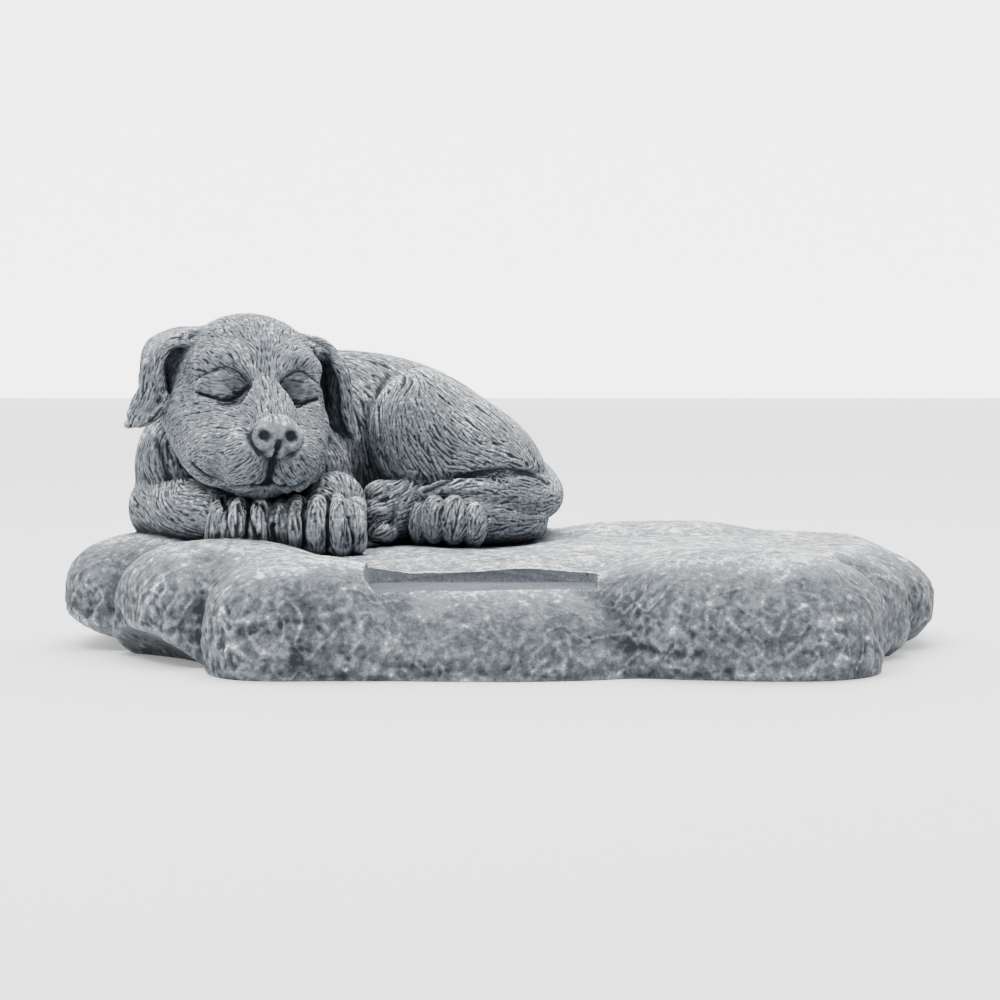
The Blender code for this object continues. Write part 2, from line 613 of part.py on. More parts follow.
def flat_underside(thing):
    """Cuts the casting off flat at the ground and centres it over the origin."""
    shape = bmesh.new()
    shape.from_mesh(thing.data)
    everything = [*shape.verts, *shape.edges, *shape.faces]
    bmesh.ops.bisect_plane(
        shape, geom=everything, plane_co=(0, 0, 0), plane_no=(0, 0, 1), clear_inner=True
    )
    rim = [edge for edge in shape.edges if edge.is_boundary]
    bmesh.ops.holes_fill(shape, edges=rim)
    bmesh.ops.triangulate(shape, faces=shape.faces)
    bmesh.ops.recalc_face_normals(shape, faces=shape.faces)
    xs = [v.co.x for v in shape.verts]
    ys = [v.co.y for v in shape.verts]
    shift = Vector((-(min(xs) + max(xs)) / 2, -(min(ys) + max(ys)) / 2, 0))
    bmesh.ops.translate(shape, verts=shape.verts, vec=shift)
    shape.to_mesh(thing.data)
    shape.free()
    print("moved by", shift)


def thin_out(thing):
    """Keeps the triangles where the form turns most."""
    skin = thing.modifiers.new("Triangles", "TRIANGULATE")
    fewer = thing.modifiers.new("Fewer", "DECIMATE")
    fewer.ratio = TRIANGLES / (2 * len(thing.data.polygons))
    return applied(thing)


def resin():
    material = bpy.data.materials.new("weathered_grey_resin")
    material.use_nodes = True
    shader = material.node_tree.nodes["Principled BSDF"]
    shader.inputs["Base Color"].default_value = (0.26, 0.29, 0.31, 1)
    shader.inputs["Roughness"].default_value = 0.85
    shader.inputs["Metallic"].default_value = 0.0
    return material


def main():
    for thing in list(bpy.data.objects):
        bpy.data.objects.remove(thing)

    statue = sculpt().surface("memorial_statue")
    thin_out(statue)
    cut_recess(statue)
    flat_underside(statue)
    statue.data.materials.clear()
    statue.data.materials.append(resin())
    statue.data.shade_smooth()


main()
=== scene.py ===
# Pet memorial statue: the carved fur, the grain of the stone and the weathered paint, with light and shade
# painted into its tone.
# Metres, +Z up, the same frame as the CAD. The front looks towards -Y.

import math
import time

import bmesh
import bpy
import numpy as np
import openvdb
from mathutils import Euler, Matrix, Vector
from mathutils.kdtree import KDTree


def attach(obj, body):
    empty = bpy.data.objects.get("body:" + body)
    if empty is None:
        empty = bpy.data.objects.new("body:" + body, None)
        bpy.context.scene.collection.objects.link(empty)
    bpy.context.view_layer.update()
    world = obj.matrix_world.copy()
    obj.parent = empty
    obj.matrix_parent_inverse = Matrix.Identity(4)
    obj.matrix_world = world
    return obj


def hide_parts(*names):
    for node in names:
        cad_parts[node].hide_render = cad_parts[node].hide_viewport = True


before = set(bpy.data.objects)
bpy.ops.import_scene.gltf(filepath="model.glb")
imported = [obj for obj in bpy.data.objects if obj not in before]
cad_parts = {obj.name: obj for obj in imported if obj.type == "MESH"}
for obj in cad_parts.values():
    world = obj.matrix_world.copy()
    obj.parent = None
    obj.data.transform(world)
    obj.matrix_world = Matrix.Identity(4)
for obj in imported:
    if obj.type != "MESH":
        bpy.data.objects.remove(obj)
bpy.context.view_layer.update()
startTime = time.time()


def report(stage):
    print(f"{stage}, {time.time() - startTime:.0f} s")


report("frame loaded")

# the stone, in metres and degrees, as in the CAD
stoneSize = {"length": 0.2500, "depth": 0.1730, "height": 0.0280, "tilt": 1.0}
# the dog's place on the stone, its head and the head's turn, in dog units
dogSize = {"length": 0.1230, "place": (-45, 25), "head": (-28.0, -16.0, 43.5), "turn": (2, 4, 16.5)}
recess = {"length": 0.0620, "depth": 0.0360, "drop": 0.0056, "x": -0.0050, "y": -0.0590, "corner": 0.0040}
# the clay's grid
fineness = {"grid": 0.0006, "quickGrid": 0.0011}

gridStep = fineness["grid"]
stoneUnit = Vector((stoneSize["length"] / 250, stoneSize["depth"] / 173, stoneSize["height"] / 28))
stoneTilt = math.radians(stoneSize["tilt"])
stoneHeight = stoneSize["height"]
dogUnit = dogSize["length"] / 123
dogPlace = dogSize["place"]
headAt = dogSize["head"]
headTurn = Euler([math.radians(a) for a in dogSize["turn"]], "ZYX")


def onStone(x, y, z):
    # a point of the stone, in metres, from stone units
    return Vector((x * stoneUnit.x, y * stoneUnit.y, z * stoneUnit.z))


def onDog(x, y, z):
    # a point of the dog, in metres: dog units from the dog's place on the stone
    return onStone(dogPlace[0], dogPlace[1], 28) + Vector((x, y, z)) * dogUnit


def onHead(x, y, z):
    # a point of the head, in metres: dog units from the middle of the head
    turned = headTurn.to_matrix() @ Vector((x, y, z))
    return onDog(*(Vector(headAt) + turned))


def smoothPath(points, count):
    # evenly numbered points of a Catmull-Rom curve through these ones
    points = [np.array(p, float) for p in points]
    ends = [2 * points[0] - points[1], *points, 2 * points[-1] - points[-2]]
    path = []
    for step in np.linspace(0, len(points) - 1, count):
        i = min(int(step), len(points) - 2)
        t = step - i
        a, b, c, d = ends[i : i + 4]
        bend = (2 * a - 5 * b + 4 * c - d) * t**2 + (3 * b - a - 3 * c + d) * t**3
        path.append(b + 0.5 * ((c - a) * t + bend))
    return path


def merged(a, b, ease):
    # the distance to two shapes as one, their meeting rounded over about the length ease
    ease = max(ease, 1e-6)
    share = np.maximum(ease - np.abs(a - b), 0) / ease
    return np.minimum(a, b) - share * share * ease / 4


class Clay:
    # a block of space that holds the distance to a surface: below 0 inside, above 0 outside

    def __init__(self, low, high):
        self.first = np.floor(np.array(low) / gridStep).astype(int)
        self.count = np.ceil(np.array(high) / gridStep).astype(int) - self.first
        self.field = np.full(self.count, 1.0, np.float32)

    def block(self, middle, reach):
        # the grid points within reach of a middle, as slices and as x, y and z
        middle = np.array(middle)
        low = np.clip(np.floor((middle - reach) / gridStep).astype(int) - self.first, 0, self.count)
        high = np.clip(np.ceil((middle + reach) / gridStep).astype(int) - self.first, 0, self.count)
        axes = [(np.arange(a, b) + f) * gridStep for a, b, f in zip(low, high, self.first)]
        return tuple(slice(a, b) for a, b in zip(low, high)), np.meshgrid(*axes, indexing="ij", sparse=True)

    def lay(self, place, distance, ease, cut=False):
        # joins a shape to the clay, or cuts it out
        old = self.field[place]
        if cut:
            self.field[place] = -merged(-old, distance, ease)
        else:
            self.field[place] = merged(old, distance, ease)

    def ball(self, centre, radii, ease=0.0, turn=None, power=2.0, cut=False):
        # An egg shape with these half sizes. A higher power makes it squarer.
        reach = max(radii) * (1.0 if power == 2 else 1.3) + ease + 3 * gridStep
        place, grid = self.block(centre, reach)
        turn = np.array(turn) if turn is not None else np.eye(3)
        sizes = []
        for axis in range(3):
            flat = sum(turn[k][axis] * (grid[k] - centre[k]) for k in range(3))
            sizes.append(np.abs(flat) / radii[axis] + 1e-6)
        size = sum(s**power for s in sizes) ** (1 / power)
        slope = np.sqrt(sum(((s / size) ** (power - 1) / r) ** 2 for s, r in zip(sizes, radii)))
        self.lay(place, (size - 1) / slope, ease, cut)

    def strip(self, points, widths, thick, ease=0.0, across=None, count=24):
        # clay along a smooth path: round, or flat and as wide as widths towards across
        rows = smoothPath([(*p, w) for p, w in zip(points, widths)], count)
        low = np.min(rows, axis=0)[:3]
        high = np.max(rows, axis=0)[:3]
        reach = (high - low) / 2 + max(widths) + ease + 3 * gridStep
        place, (x, y, z) = self.block((low + high) / 2, reach)
        nearest = np.full(np.broadcast_shapes(x.shape, y.shape, z.shape), 1.0)
        for a, b in zip(rows[:-1], rows[1:]):
            along = b[:3] - a[:3]
            share = (x - a[0]) * along[0] + (y - a[1]) * along[1] + (z - a[2]) * along[2]
            share = np.clip(share / (along @ along), 0, 1)
            gaps = [axis - a[k] - share * along[k] for k, axis in enumerate((x, y, z))]
            width = a[3] + share * (b[3] - a[3])
            total = sum(gap * gap for gap in gaps)
            if across is None:
                nearest = np.minimum(nearest, np.sqrt(total) - width)
                continue
            line = Vector(along).normalized()
            side = (across - line * across.dot(line)).normalized()
            sideways = sum(gap * s for gap, s in zip(gaps, side))
            over = np.maximum(np.abs(sideways) - np.maximum(width - thick, 0), 0)
            rest = np.maximum(total - sideways * sideways, 0)
            nearest = np.minimum(nearest, np.sqrt(rest + over * over) - thick)
        self.lay(place, nearest, ease)

    def roll(self, points, radii, ease=0.0, count=24):
        # a tapered roll of clay along a smooth path
        self.strip(points, radii, 0, ease, None, count)

    def join(self, other, ease):
        # joins another block of clay to this one
        low = np.maximum(other.first - self.first, 0)
        high = np.minimum(other.first + other.count - self.first, self.count)
        here = tuple(slice(a, b) for a, b in zip(low, high))
        shift = self.first - other.first
        there = tuple(slice(a + s, b + s) for a, b, s in zip(low, high, shift))
        self.field[here] = merged(self.field[here], other.field[there], ease)

    def depthAt(self, point):
        # the distance held at a point, and the way out of the clay there
        at = np.array(point) / gridStep - self.first
        cell = np.clip(np.floor(at).astype(int), 0, self.count - 2)
        t = np.clip(at - cell, 0, 1)
        cube = self.field[tuple(slice(c, c + 2) for c in cell)]
        ends = [np.array([1 - s, s]) for s in t]
        depth = np.einsum("abc,a,b,c", cube, *ends)
        slope = np.zeros(3)
        for axis in range(3):
            weights = list(ends)
            weights[axis] = np.array([-1.0, 1.0])
            slope[axis] = np.einsum("abc,a,b,c", cube, *weights)
        return depth, slope / (np.linalg.norm(slope) + 1e-9)

    def settled(self, point):
        # the point moved onto the surface, and the way out of the clay there
        point = np.array(point, float)
        for _ in range(4):
            depth, out = self.depthAt(point)
            point = point - np.clip(depth, -0.004, 0.004) * out
        return point, out

    def groove(self, points, width, depth, count=14):
        # Presses a rounded groove along a path on the surface. A depth below 0 raises a ridge.
        path, outs = zip(*[self.settled(p) for p in smoothPath(points, count)])
        path, outs = np.array(path), np.array(outs)
        for _ in range(3):
            path[1:-1] = (path[:-2] + 2 * path[1:-1] + path[2:]) / 4
            outs[1:-1] = (outs[:-2] + 2 * outs[1:-1] + outs[2:]) / 4
        low, high = np.min(path, axis=0), np.max(path, axis=0)
        reach = (high - low) / 2 + 3 * width + abs(depth)
        place, (x, y, z) = self.block((low + high) / 2, reach)
        nearest = np.full(np.broadcast_shapes(x.shape, y.shape, z.shape), 1.0)
        for shareOfDepth in (0, 0.5, 1):
            deeper = path - outs * depth * shareOfDepth
            for a, b in zip(deeper[:-1], deeper[1:]):
                along = b - a
                share = (x - a[0]) * along[0] + (y - a[1]) * along[1] + (z - a[2]) * along[2]
                share = np.clip(share / (along @ along + 1e-12), 0, 1)
                gap = sum((axis - a[k] - share * along[k]) ** 2 for k, axis in enumerate((x, y, z)))
                nearest = np.minimum(nearest, gap)
        self.field[place] += depth * np.exp(-nearest / width**2)

    def press(self, point, width, depth):
        # presses a hollow round a point, or raises a bump if depth is below 0
        self.groove([point, Vector(point) + Vector((1e-6, 0, 0))], width, depth, 2)

    def chisel(self, point, normal, width):
        # strikes off what stands out beyond a broad flat face of about this width
        normal = Vector(normal).normalized()
        place, grid = self.block(point, 2 * width)
        offset = [grid[k] - point[k] for k in range(3)]
        out = sum(o * n for o, n in zip(offset, normal))
        sideways = sum(o * o for o in offset) - out * out
        self.field[place] = -merged(-self.field[place], -(out - 0.22 * sideways / width), 0.0015)

    def roughen(self, size, amount, seed):
        # bumps of about this size and height, all over
        random = np.random.default_rng(seed)
        weights = []
        for first, count in zip(self.first, self.count):
            at = (np.arange(count) + first + 1000) * gridStep / size
            cell = np.floor(at).astype(int)
            t = at - cell
            cell -= cell.min()
            rows = np.zeros((count, cell.max() + 4), np.float32)
            parts = ((1 - t) ** 3, 3 * t**3 - 6 * t**2 + 4, -3 * t**3 + 3 * t**2 + 3 * t + 1, t**3)
            for k, part in enumerate(parts):
                rows[np.arange(count), cell + k] = part / 6
            weights.append(rows)
        knots = random.uniform(-1, 1, [w.shape[1] for w in weights]).astype(np.float32)
        bumps = np.einsum("abc,xa->xbc", knots, weights[0], optimize=True)
        bumps = np.einsum("xbc,yb->xyc", bumps, weights[1], optimize=True)
        bumps = np.einsum("xyc,zc->xyz", bumps, weights[2], optimize=True)
        self.field += bumps * amount * 2

    def surface(self, name):
        # the clay's skin as a mesh object
        grid = openvdb.FloatGrid(3 * gridStep)
        grid.copyFromArray(np.clip(self.field, -3 * gridStep, 3 * gridStep))
        points, quads = grid.convertToQuads(isovalue=0.0)
        points = (points + self.first) * gridStep
        mesh = bpy.data.meshes.new(name)
        mesh.from_pydata(points.tolist(), [], quads.tolist())
        shape = bmesh.new()
        shape.from_mesh(mesh)
        bmesh.ops.recalc_face_normals(shape, faces=shape.faces)
        shape.to_mesh(mesh)
        shape.free()
        thing = bpy.data.objects.new(name, mesh)
        bpy.context.scene.collection.objects.link(thing)
        return thing


def wholeBlock():
    # an empty block of clay with room for the whole statue
    return Clay((-0.140, -0.100, -0.004), (0.140, 0.100, 0.105))


# The stone

slabOutline = [
    (-66, -60), (-30, -60), (40, -60), (84, -58), (98, -30), (108, 8), (106, 44),
    (78, 66), (20, 72), (-40, 72), (-88, 62), (-106, 25), (-94, -14), (-80, -42),
]

# Boulders round the rim: middle, half sizes in stone units, and turn in degrees
boulders = [
    ((-50, -58, 8), (30, 27, 22.5), 10),
    ((-4, -66, 5), (44, 20, 18.5), 0),
    ((64, -52, 9), (40, 33, 23.5), -8),
    ((-78, -26, 12), (27, 30, 20.5), 30),
    ((-99, 20, 14), (24.4, 34, 18.0), -12),
    ((-80, 54, 13), (32, 28, 17), 30),
    ((-24, 64, 11), (48, 21, 17), 4),
    ((48, 62, 12), (34, 23, 18.4), -8),
    ((94, 26, 12), (31, 40, 16.0), 6),
    ((84, -16, 12), (30, 32, 16.0), 0),
]

# Grooves in the stone: the path in stone units, and the width and depth in metres
stoneGrooves = [
    # the plateau dips towards the recess, and so does the rim before it
    ([(-34, -46, 28), (-5, -47, 28), (24, -46, 28)], 0.014, 0.0027),
    ([(-25, -78, 24), (0, -79, 24), (28, -78, 24)], 0.010, 0.0030),
    ([(-22, -86, 19), (4, -87, 15), (30, -86, 19)], 0.010, 0.0030),
    # furrows between the boulders
    ([(-79, -48, 30), (-80, -54, 16), (-76, -56, 2)], 0.005, 0.0020),
    ([(-96, -12, 31), (-104, -12, 18), (-100, -10, 6)], 0.005, 0.0016),
    ([(96, -40, 27), (105, -34, 14), (106, -30, 2)], 0.006, 0.0020),
]

# Broad faces, as if struck off: a point in stone units, the way it faces, and its width in metres
struckFaces = [
    ((115, 25, 25), (1, 0, 0.9), 0.040),
    ((126, 22, 13), (1, 0.1, -0.2), 0.040),
    ((117, 25, 3), (0.8, 0, -1), 0.040),
    ((102.5, -55, 14), (1, -0.1, -0.05), 0.030),
    ((-107, 10, 6), (-0.45, 0.05, -1), 0.050),
    ((-90, -40, 4), (-0.6, -0.3, -1), 0.040),
    ((60, -85, 12), (0.1, -1, 0.05), 0.050),
    ((-50, -85, 12), (-0.1, -1, 0.15), 0.040),
]


def slab(clay):
    # the flat middle of the stone, which everything stands on
    outline = np.array(smoothPath([*slabOutline, slabOutline[0]], 57)) * stoneUnit.xy
    place, (x, y, z) = clay.block((0, 0, 0), 1.0)
    edge = np.full(np.broadcast_shapes(x.shape, y.shape), 1.0)
    inside = np.zeros(edge.shape, bool)
    for a, b in zip(outline[:-1], outline[1:]):
        along = b - a
        share = np.clip(((x - a[0]) * along[0] + (y - a[1]) * along[1]) / (along @ along), 0, 1)
        edge = np.minimum(edge, np.hypot(x - a[0] - share * along[0], y - a[1] - share * along[1]))
        crosses = (a[1] > y) != (b[1] > y)
        inside ^= crosses & (x < a[0] + (y - a[1]) * along[0] / (along[1] or 1e-9))
    edge = np.where(inside, -edge, edge)
    rounding = 0.006
    out = edge + rounding
    half = stoneHeight * 0.62
    up = np.abs(z - y * math.tan(stoneTilt) - stoneHeight + half) - half + rounding
    distance = np.minimum(np.maximum(out, up), 0) + np.hypot(np.maximum(out, 0), np.maximum(up, 0))
    clay.lay(place, distance - rounding, 0)


def stone():
    clay = Clay((-0.140, -0.100, -0.006), (0.140, 0.100, 0.042))
    slab(clay)
    for middle, halves, turn in boulders:
        radii = [half * unit for half, unit in zip(halves, stoneUnit)]
        clay.ball(onStone(*middle), radii, 0.0075, Matrix.Rotation(math.radians(turn), 3, "Z"), 2.7)
    for points, width, depth in stoneGrooves:
        clay.groove([onStone(*p) for p in points], width, depth)
    for point, normal, width in struckFaces:
        clay.chisel(onStone(*point), normal, width)
    clay.roughen(0.020, 0.0011, 4)
    clay.roughen(0.009, 0.0005, 5)
    return clay


# The dog


def dogBlock(low, high):
    # an empty block of clay between two corners in dog units
    return Clay(onDog(*low), onDog(*high))


def sized(*radii):
    return [r * dogUnit for r in radii]


def torso():
    clay = dogBlock((-68, -30, -6), (66, 66, 66))
    ease = 9 * dogUnit
    clay.ball(onDog(-4, 29, 20), sized(54, 26, 35.5), ease)
    clay.ball(onDog(-27, 12, 26), sized(24, 21, 27), ease)
    clay.ball(onDog(-47.5, 0, 22), sized(14, 15, 19), ease)
    clay.ball(onDog(-12, -8, 18), sized(14, 14, 15), ease)
    # the line between neck and shoulder
    line = [onDog(-50, -12, 37), onDog(-47.5, -14, 30), onDog(-46, -16, 24)]
    clay.groove(line, 1.6 * dogUnit, 1.8 * dogUnit)
    return clay


def haunch():
    clay = dogBlock((-6, -32, -6), (70, 56, 62))
    ease = 7 * dogUnit
    turn = Matrix.Rotation(math.radians(40), 3, "Y")
    clay.ball(onDog(31.5, 8, 24), sized(28, 22, 19.5), ease, turn)
    clay.ball(onDog(21, 4, 32), sized(10.5, 17, 18.5), ease)
    clay.ball(onDog(40, 20, 14), sized(19, 24, 22), ease)
    clay.ball(onDog(46, 27, 4), sized(12, 17, 10), ease)
    return clay


def frontLegs():
    clay = dogBlock((-72, -54, -6), (20, 12, 30))
    ease = 4 * dogUnit
    left = [onDog(-52, -4, 10.5), onDog(-44, -17, 9.5), onDog(-34, -27, 9.5)]
    clay.roll(left, sized(11, 10, 9.0), ease)
    clay.ball(onDog(-26, -28, 8.5), sized(9.5, 8.5, 8.3), ease)
    clay.roll([onDog(-6, -6, 13), onDog(-2.5, -21, 13)], sized(9.5, 8.8), ease)
    clay.ball(onDog(-4, -28, 8.5), sized(9.2, 8.5, 8.3), ease)
    return clay


# Toes of the front paws: middle across the paw, half width and how far back, in dog units
frontToeSizes = [
    (-33.9, 2.7, 3.2), (-28.6, 3.5, 0.4), (-22.2, 3.3, 0.0), (-17.2, 2.5, 1.8),
    (-12.6, 3.2, 1.0), (-6.5, 3.2, 0.0), (-0.2, 3.3, 0.6), (4.4, 2.6, 3.2),
]


def frontToes():
    clay = dogBlock((-46, -56, -6), (18, -14, 26))
    for x, r, back in frontToeSizes:
        path = [
            (x * 0.93 - 1, -27, 12.0), (x, -34.5 + back, 13.0), (x, -40.8 + back, 11.4),
            (x * 1.02, -43.8 + back, 7.2), (x * 1.03, -43.4 + back, 2.6),
        ]
        radii = sized(r * 0.9, r * 0.95, r * 1.05, r * 1.14, r * 1.12)
        clay.roll([onDog(*p) for p in path], radii, 0.3 * dogUnit, 20)
    return clay


def hindPaws():
    clay = dogBlock((-12, -36, -6), (66, 26, 28))
    ease = 2.2 * dogUnit
    # the far foot, its toes to the left
    clay.roll([onDog(30, 4, 13), onDog(20, -5, 12.5)], sized(8, 8.5), ease)
    clay.ball(onDog(15, -8, 10), sized(7, 7.5, 8.5), ease)
    for x, y, z, r in ((10.8, -9, 15.0, 4.2), (9.4, -12, 9.6, 4.4), (10.8, -13, 4.2, 3.9)):
        clay.ball(onDog(x, y, z), sized(r * 1.25, r * 1.15, r * 0.9), 1.0 * dogUnit)
    gap = [onDog(16, -17, 16), onDog(15, -18.5, 9), onDog(16, -18, 3)]
    clay.groove(gap, 1.0 * dogUnit, 0.9 * dogUnit)
    # the near foot lies along the stone under the tail
    clay.roll([onDog(52, 4, 6), onDog(42, -7, 7.5), onDog(34, -12, 8.5)], sized(6.5, 7.4, 8.0), ease)
    toes = [(22.3, -13.5, 6.5, 3.8), (26.2, -17.5, 8.0, 4.2), (31.6, -19, 7.8, 4.3), (37.2, -18, 6.4, 3.9)]
    for x, y, z, r in toes:
        clay.ball(onDog(x, y, z), sized(r, r * 1.25, r * 1.7), 0.8 * dogUnit)
    return clay


def tail():
    clay = dogBlock((4, -36, -2), (74, 54, 40))
    path = [
        (44, 40, 22), (54, 35, 17), (57.5, 19, 12.5), (51, 2, 12.4), (41, -9, 14.8), (31, -14, 16.6),
        (23, -17, 15.8),
    ]
    clay.roll([onDog(*p) for p in path], sized(7, 6.4, 6.2, 6.2, 5.2, 3.7, 1.6), 0, 44)
    return clay


def head():
    clay, lips, nose = [dogBlock((-66, -70, 8), (12, 18, 72)) for _ in range(3)]

    def ball(x, y, z, rx, ry, rz, ease, cut=False, block=clay):
        turn = headTurn.to_matrix()
        block.ball(onHead(x, y, z), sized(rx, ry, rz), ease * dogUnit, turn, cut=cut)

    def roll(points, radii, ease):
        clay.roll([onHead(*p) for p in points], sized(*radii), ease * dogUnit)

    def groove(points, width, depth):
        clay.groove([onHead(*p) for p in points], width * dogUnit, depth * dogUnit)

    ball(0, 3, 1.5, 20.5, 21, 21, 0)
    ball(0, -4, 10, 17.5, 15, 12.4, 6)
    roll([(0, -13, 3), (0.5, -24, -2.5), (1, -33, -7.5)], (9.8, 8.6, 6.8), 8)
    for side in (-1, 1):
        ball(side * 11.8, -4, -8, 11.5, 14.5, 13, 7)
        ball(side * 9.0, -14, -17, 10.5, 12, 8, 6)
        # the brow swells over the hollow of the eye, and runs down beside the bridge of the nose
        brow = [(4.2, -19.0, 5.0), (5.8, -18.0, 9.5), (10.5, -16.6, 11.8), (16, -12.0, 9.5)]
        roll([(side * x, y, z) for x, y, z in brow], (2.0, 2.8, 3.0, 2.4), 5)
        ball(side * 10.6, -22.4, 3.0, 7.4, 4.0, 5.4, 3.5, cut=True)
        # behind the ear, where the neck begins
        ball(side * 17, 8, 1, 8, 7.5, 14, 4)
        # cheek bone
        ball(side * 14.0, -13.5, -7, 6.5, 5.5, 4.5, 5)
        # the side of the muzzle
        ball(side * 9.5, -21, -12, 8.5, 9, 9, 6)
    # the jaw lies behind the lips, which hang over it on both sides of the split under the nose
    ball(0, -19.5, -23.5, 8.5, 9, 4.5, 3)
    for side in (-1, 1):
        ball(side * 12.0, -19.5, -14.5, 6.5, 9.5, 8.0, 4)
        ball(side * 6.9 + 0.8, -28.6, -15.0, 7.6, 9.4, 9.6, 0.5, block=lips)
    clay.join(lips, 2.6 * dogUnit)
    ball(1, -37.0, -6.7, 6.0, 5.0, 4.9, 0, block=nose)
    ball(1, -36.6, -11.3, 3.6, 4.4, 3.0, 1.5, block=nose)
    for side in (-1, 1):
        ball(side * 4.0 + 1, -38.6, -8.1, 3.0, 3.7, 3.8, 1.6, block=nose)
    clay.join(nose, 0.8 * dogUnit)
    for side in (-1, 1):
        # the closed lids, a fold above them and the slit between them
        ball(side * 10.6, -14.0, 4.0, 7.2, 5.2, 5.2, 3.0)
        ball(side * 11.0, -14.7, -1.6, 6.6, 4.6, 3.4, 3.0)
        slit = [(4.6, -21, 3.8), (7.4, -21, 1.4), (11.4, -20, 0.2), (16.6, -16, 1.2)]
        groove([(side * x, y, z) for x, y, z in slit], 0.65, 1.4)
        fold = [(4.4, -20, 5.6), (7.4, -20, 8.3), (12, -18.5, 8.9), (17, -14, 4.6)]
        groove([(side * x, y, z) for x, y, z in fold], 0.9, 0.5)
        mouth = [
            (side * 0.6 + 0.8, -37, -23.6), (side * 5 + 0.8, -34, -25), (side * 10, -28, -24.6),
            (side * 15, -20, -21.8), (side * 19, -12.5, -19.5),
        ]
        groove(mouth, 0.9, 1.7)
        wing = [(side * 6.9 + 1, -37.5, -4.6), (side * 7.8 + 1, -35.5, -9), (side * 4.8 + 1, -37, -13)]
        groove(wing, 0.8, 0.8)
        # the nostril
        clay.press(onHead(side * 3.9 + 1, -42.5, -8.1), 1.25 * dogUnit, 2.4 * dogUnit)
    groove([(1, -42, -9.5), (1, -40, -14), (0.8, -38.5, -19), (0.8, -37, -23.5)], 0.8, 1.5)
    groove([(-0.6, -12, 21), (0, -19, 13), (-0.3, -21, 8)], 1.7, 0.7)
    return clay


def ears():
    clay = dogBlock((-78, -46, 20), (24, 22, 78))
    u = dogUnit

    def flat(points, widths, thick, ease, across, count):
        across = headTurn.to_matrix() @ Vector(across)
        clay.strip([onHead(*p) for p in points], sized(*widths), thick * u, ease * u, across, count)

    def ear(flap, widths, rim, radii, across):
        flat(flap, widths, 1.4, 0.8, across, 36)
        clay.roll([onHead(*p) for p in rim], sized(*radii), 1.0 * u, 36)

    # the ear at the left shows its outer face, its rim curled forward over the hollow
    flap = [
        (-13, 2, 17.5), (-20, 2.5, 16.4), (-26.3, 4, 12), (-27.3, 4.8, 4), (-27.8, 4, -3.5), (-31.5, 1, -9),
    ]
    rim = [
        (-13, -3.5, 16.5), (-17.2, -4.3, 14.6), (-22.8, -2.8, 13.8), (-25.8, -2, 8.5), (-24.8, -2.4, 1),
        (-23.6, -2.6, -3.2), (-28, -1.2, -7.6), (-33.6, 0.5, -9.8),
    ]
    ear(flap, (5, 6, 6.6, 6.6, 5.5, 2.5), rim, (1.1, 1.2, 1.2, 1.1, 1.1, 1.1, 1.2, 1.2), (-0.15, 0.99, 0))
    fold = [(-27.2, 1.5, 8), (-27, 1.0, 0), (-28.5, 0.6, -4.5), (-31.5, 0.4, -8)]
    flat(fold, (3.0, 4.2, 4.8, 3.2), 1.3, 1.2, (1, -0.25, 0.2), 24)
    # the ear at the right hangs beside the cheek, edge on, and turns out at its tip
    flap = [
        (13, 2, 17.5), (20, 2.0, 15.6), (25.4, 1.5, 9.2), (26.6, 1, 2), (27.4, 0.5, -4), (31.0, -1.5, -9.6),
    ]
    rim = [
        (13, -3.5, 16.5), (19, -4.6, 14.2), (25.6, -4.8, 9.2), (28.2, -5.0, 2), (28.9, -5.0, -4),
        (32.0, -4.6, -10.0),
    ]
    ear(flap, (5, 6, 6.8, 7.0, 6.2, 3.4), rim, (1.2, 1.6, 1.9, 2.0, 1.9, 1.5), (-0.38, 0.92, 0))
    return clay


def dogCreases(clay):
    u = dogUnit
    for (x, _, _), (other, _, back) in zip(frontToeSizes, frontToeSizes[1:]):
        gap = (x + other) / 2
        slit = [
            (gap * 0.95 - 0.5, -34 + back, 17.0), (gap, -40.5 + back, 15.4), (gap, -45, 9.5), (gap, -46, 2),
        ]
        clay.groove([onDog(*p) for p in slit], 0.7 * u, 1.3 * u)
    # where the thigh meets the flank
    crease = [(19, 8, 52), (12, 0, 45), (9.5, -4, 35), (11, -7, 24)]
    clay.groove([onDog(*p) for p in crease], 1.8 * u, 1.4 * u)
    # where the tail lies on the thigh
    crease = [(24, -15, 18.5), (32, -14, 20.5), (42, -10, 20.5), (52, 0, 19.5), (58, 14, 20)]
    clay.groove([onDog(*p) for p in crease], 1.1 * u, 1.2 * u)


def objectOf(name, shape):
    # a new object from a bmesh, which is freed
    mesh = bpy.data.meshes.new(name)
    shape.to_mesh(mesh)
    shape.free()
    thing = bpy.data.objects.new(name, mesh)
    bpy.context.scene.collection.objects.link(thing)
    return thing


def applied(thing):
    # the object with its modifiers turned into mesh
    graph = bpy.context.evaluated_depsgraph_get()
    thing.data = bpy.data.meshes.new_from_object(thing.evaluated_get(graph))
    thing.modifiers.clear()
    return thing


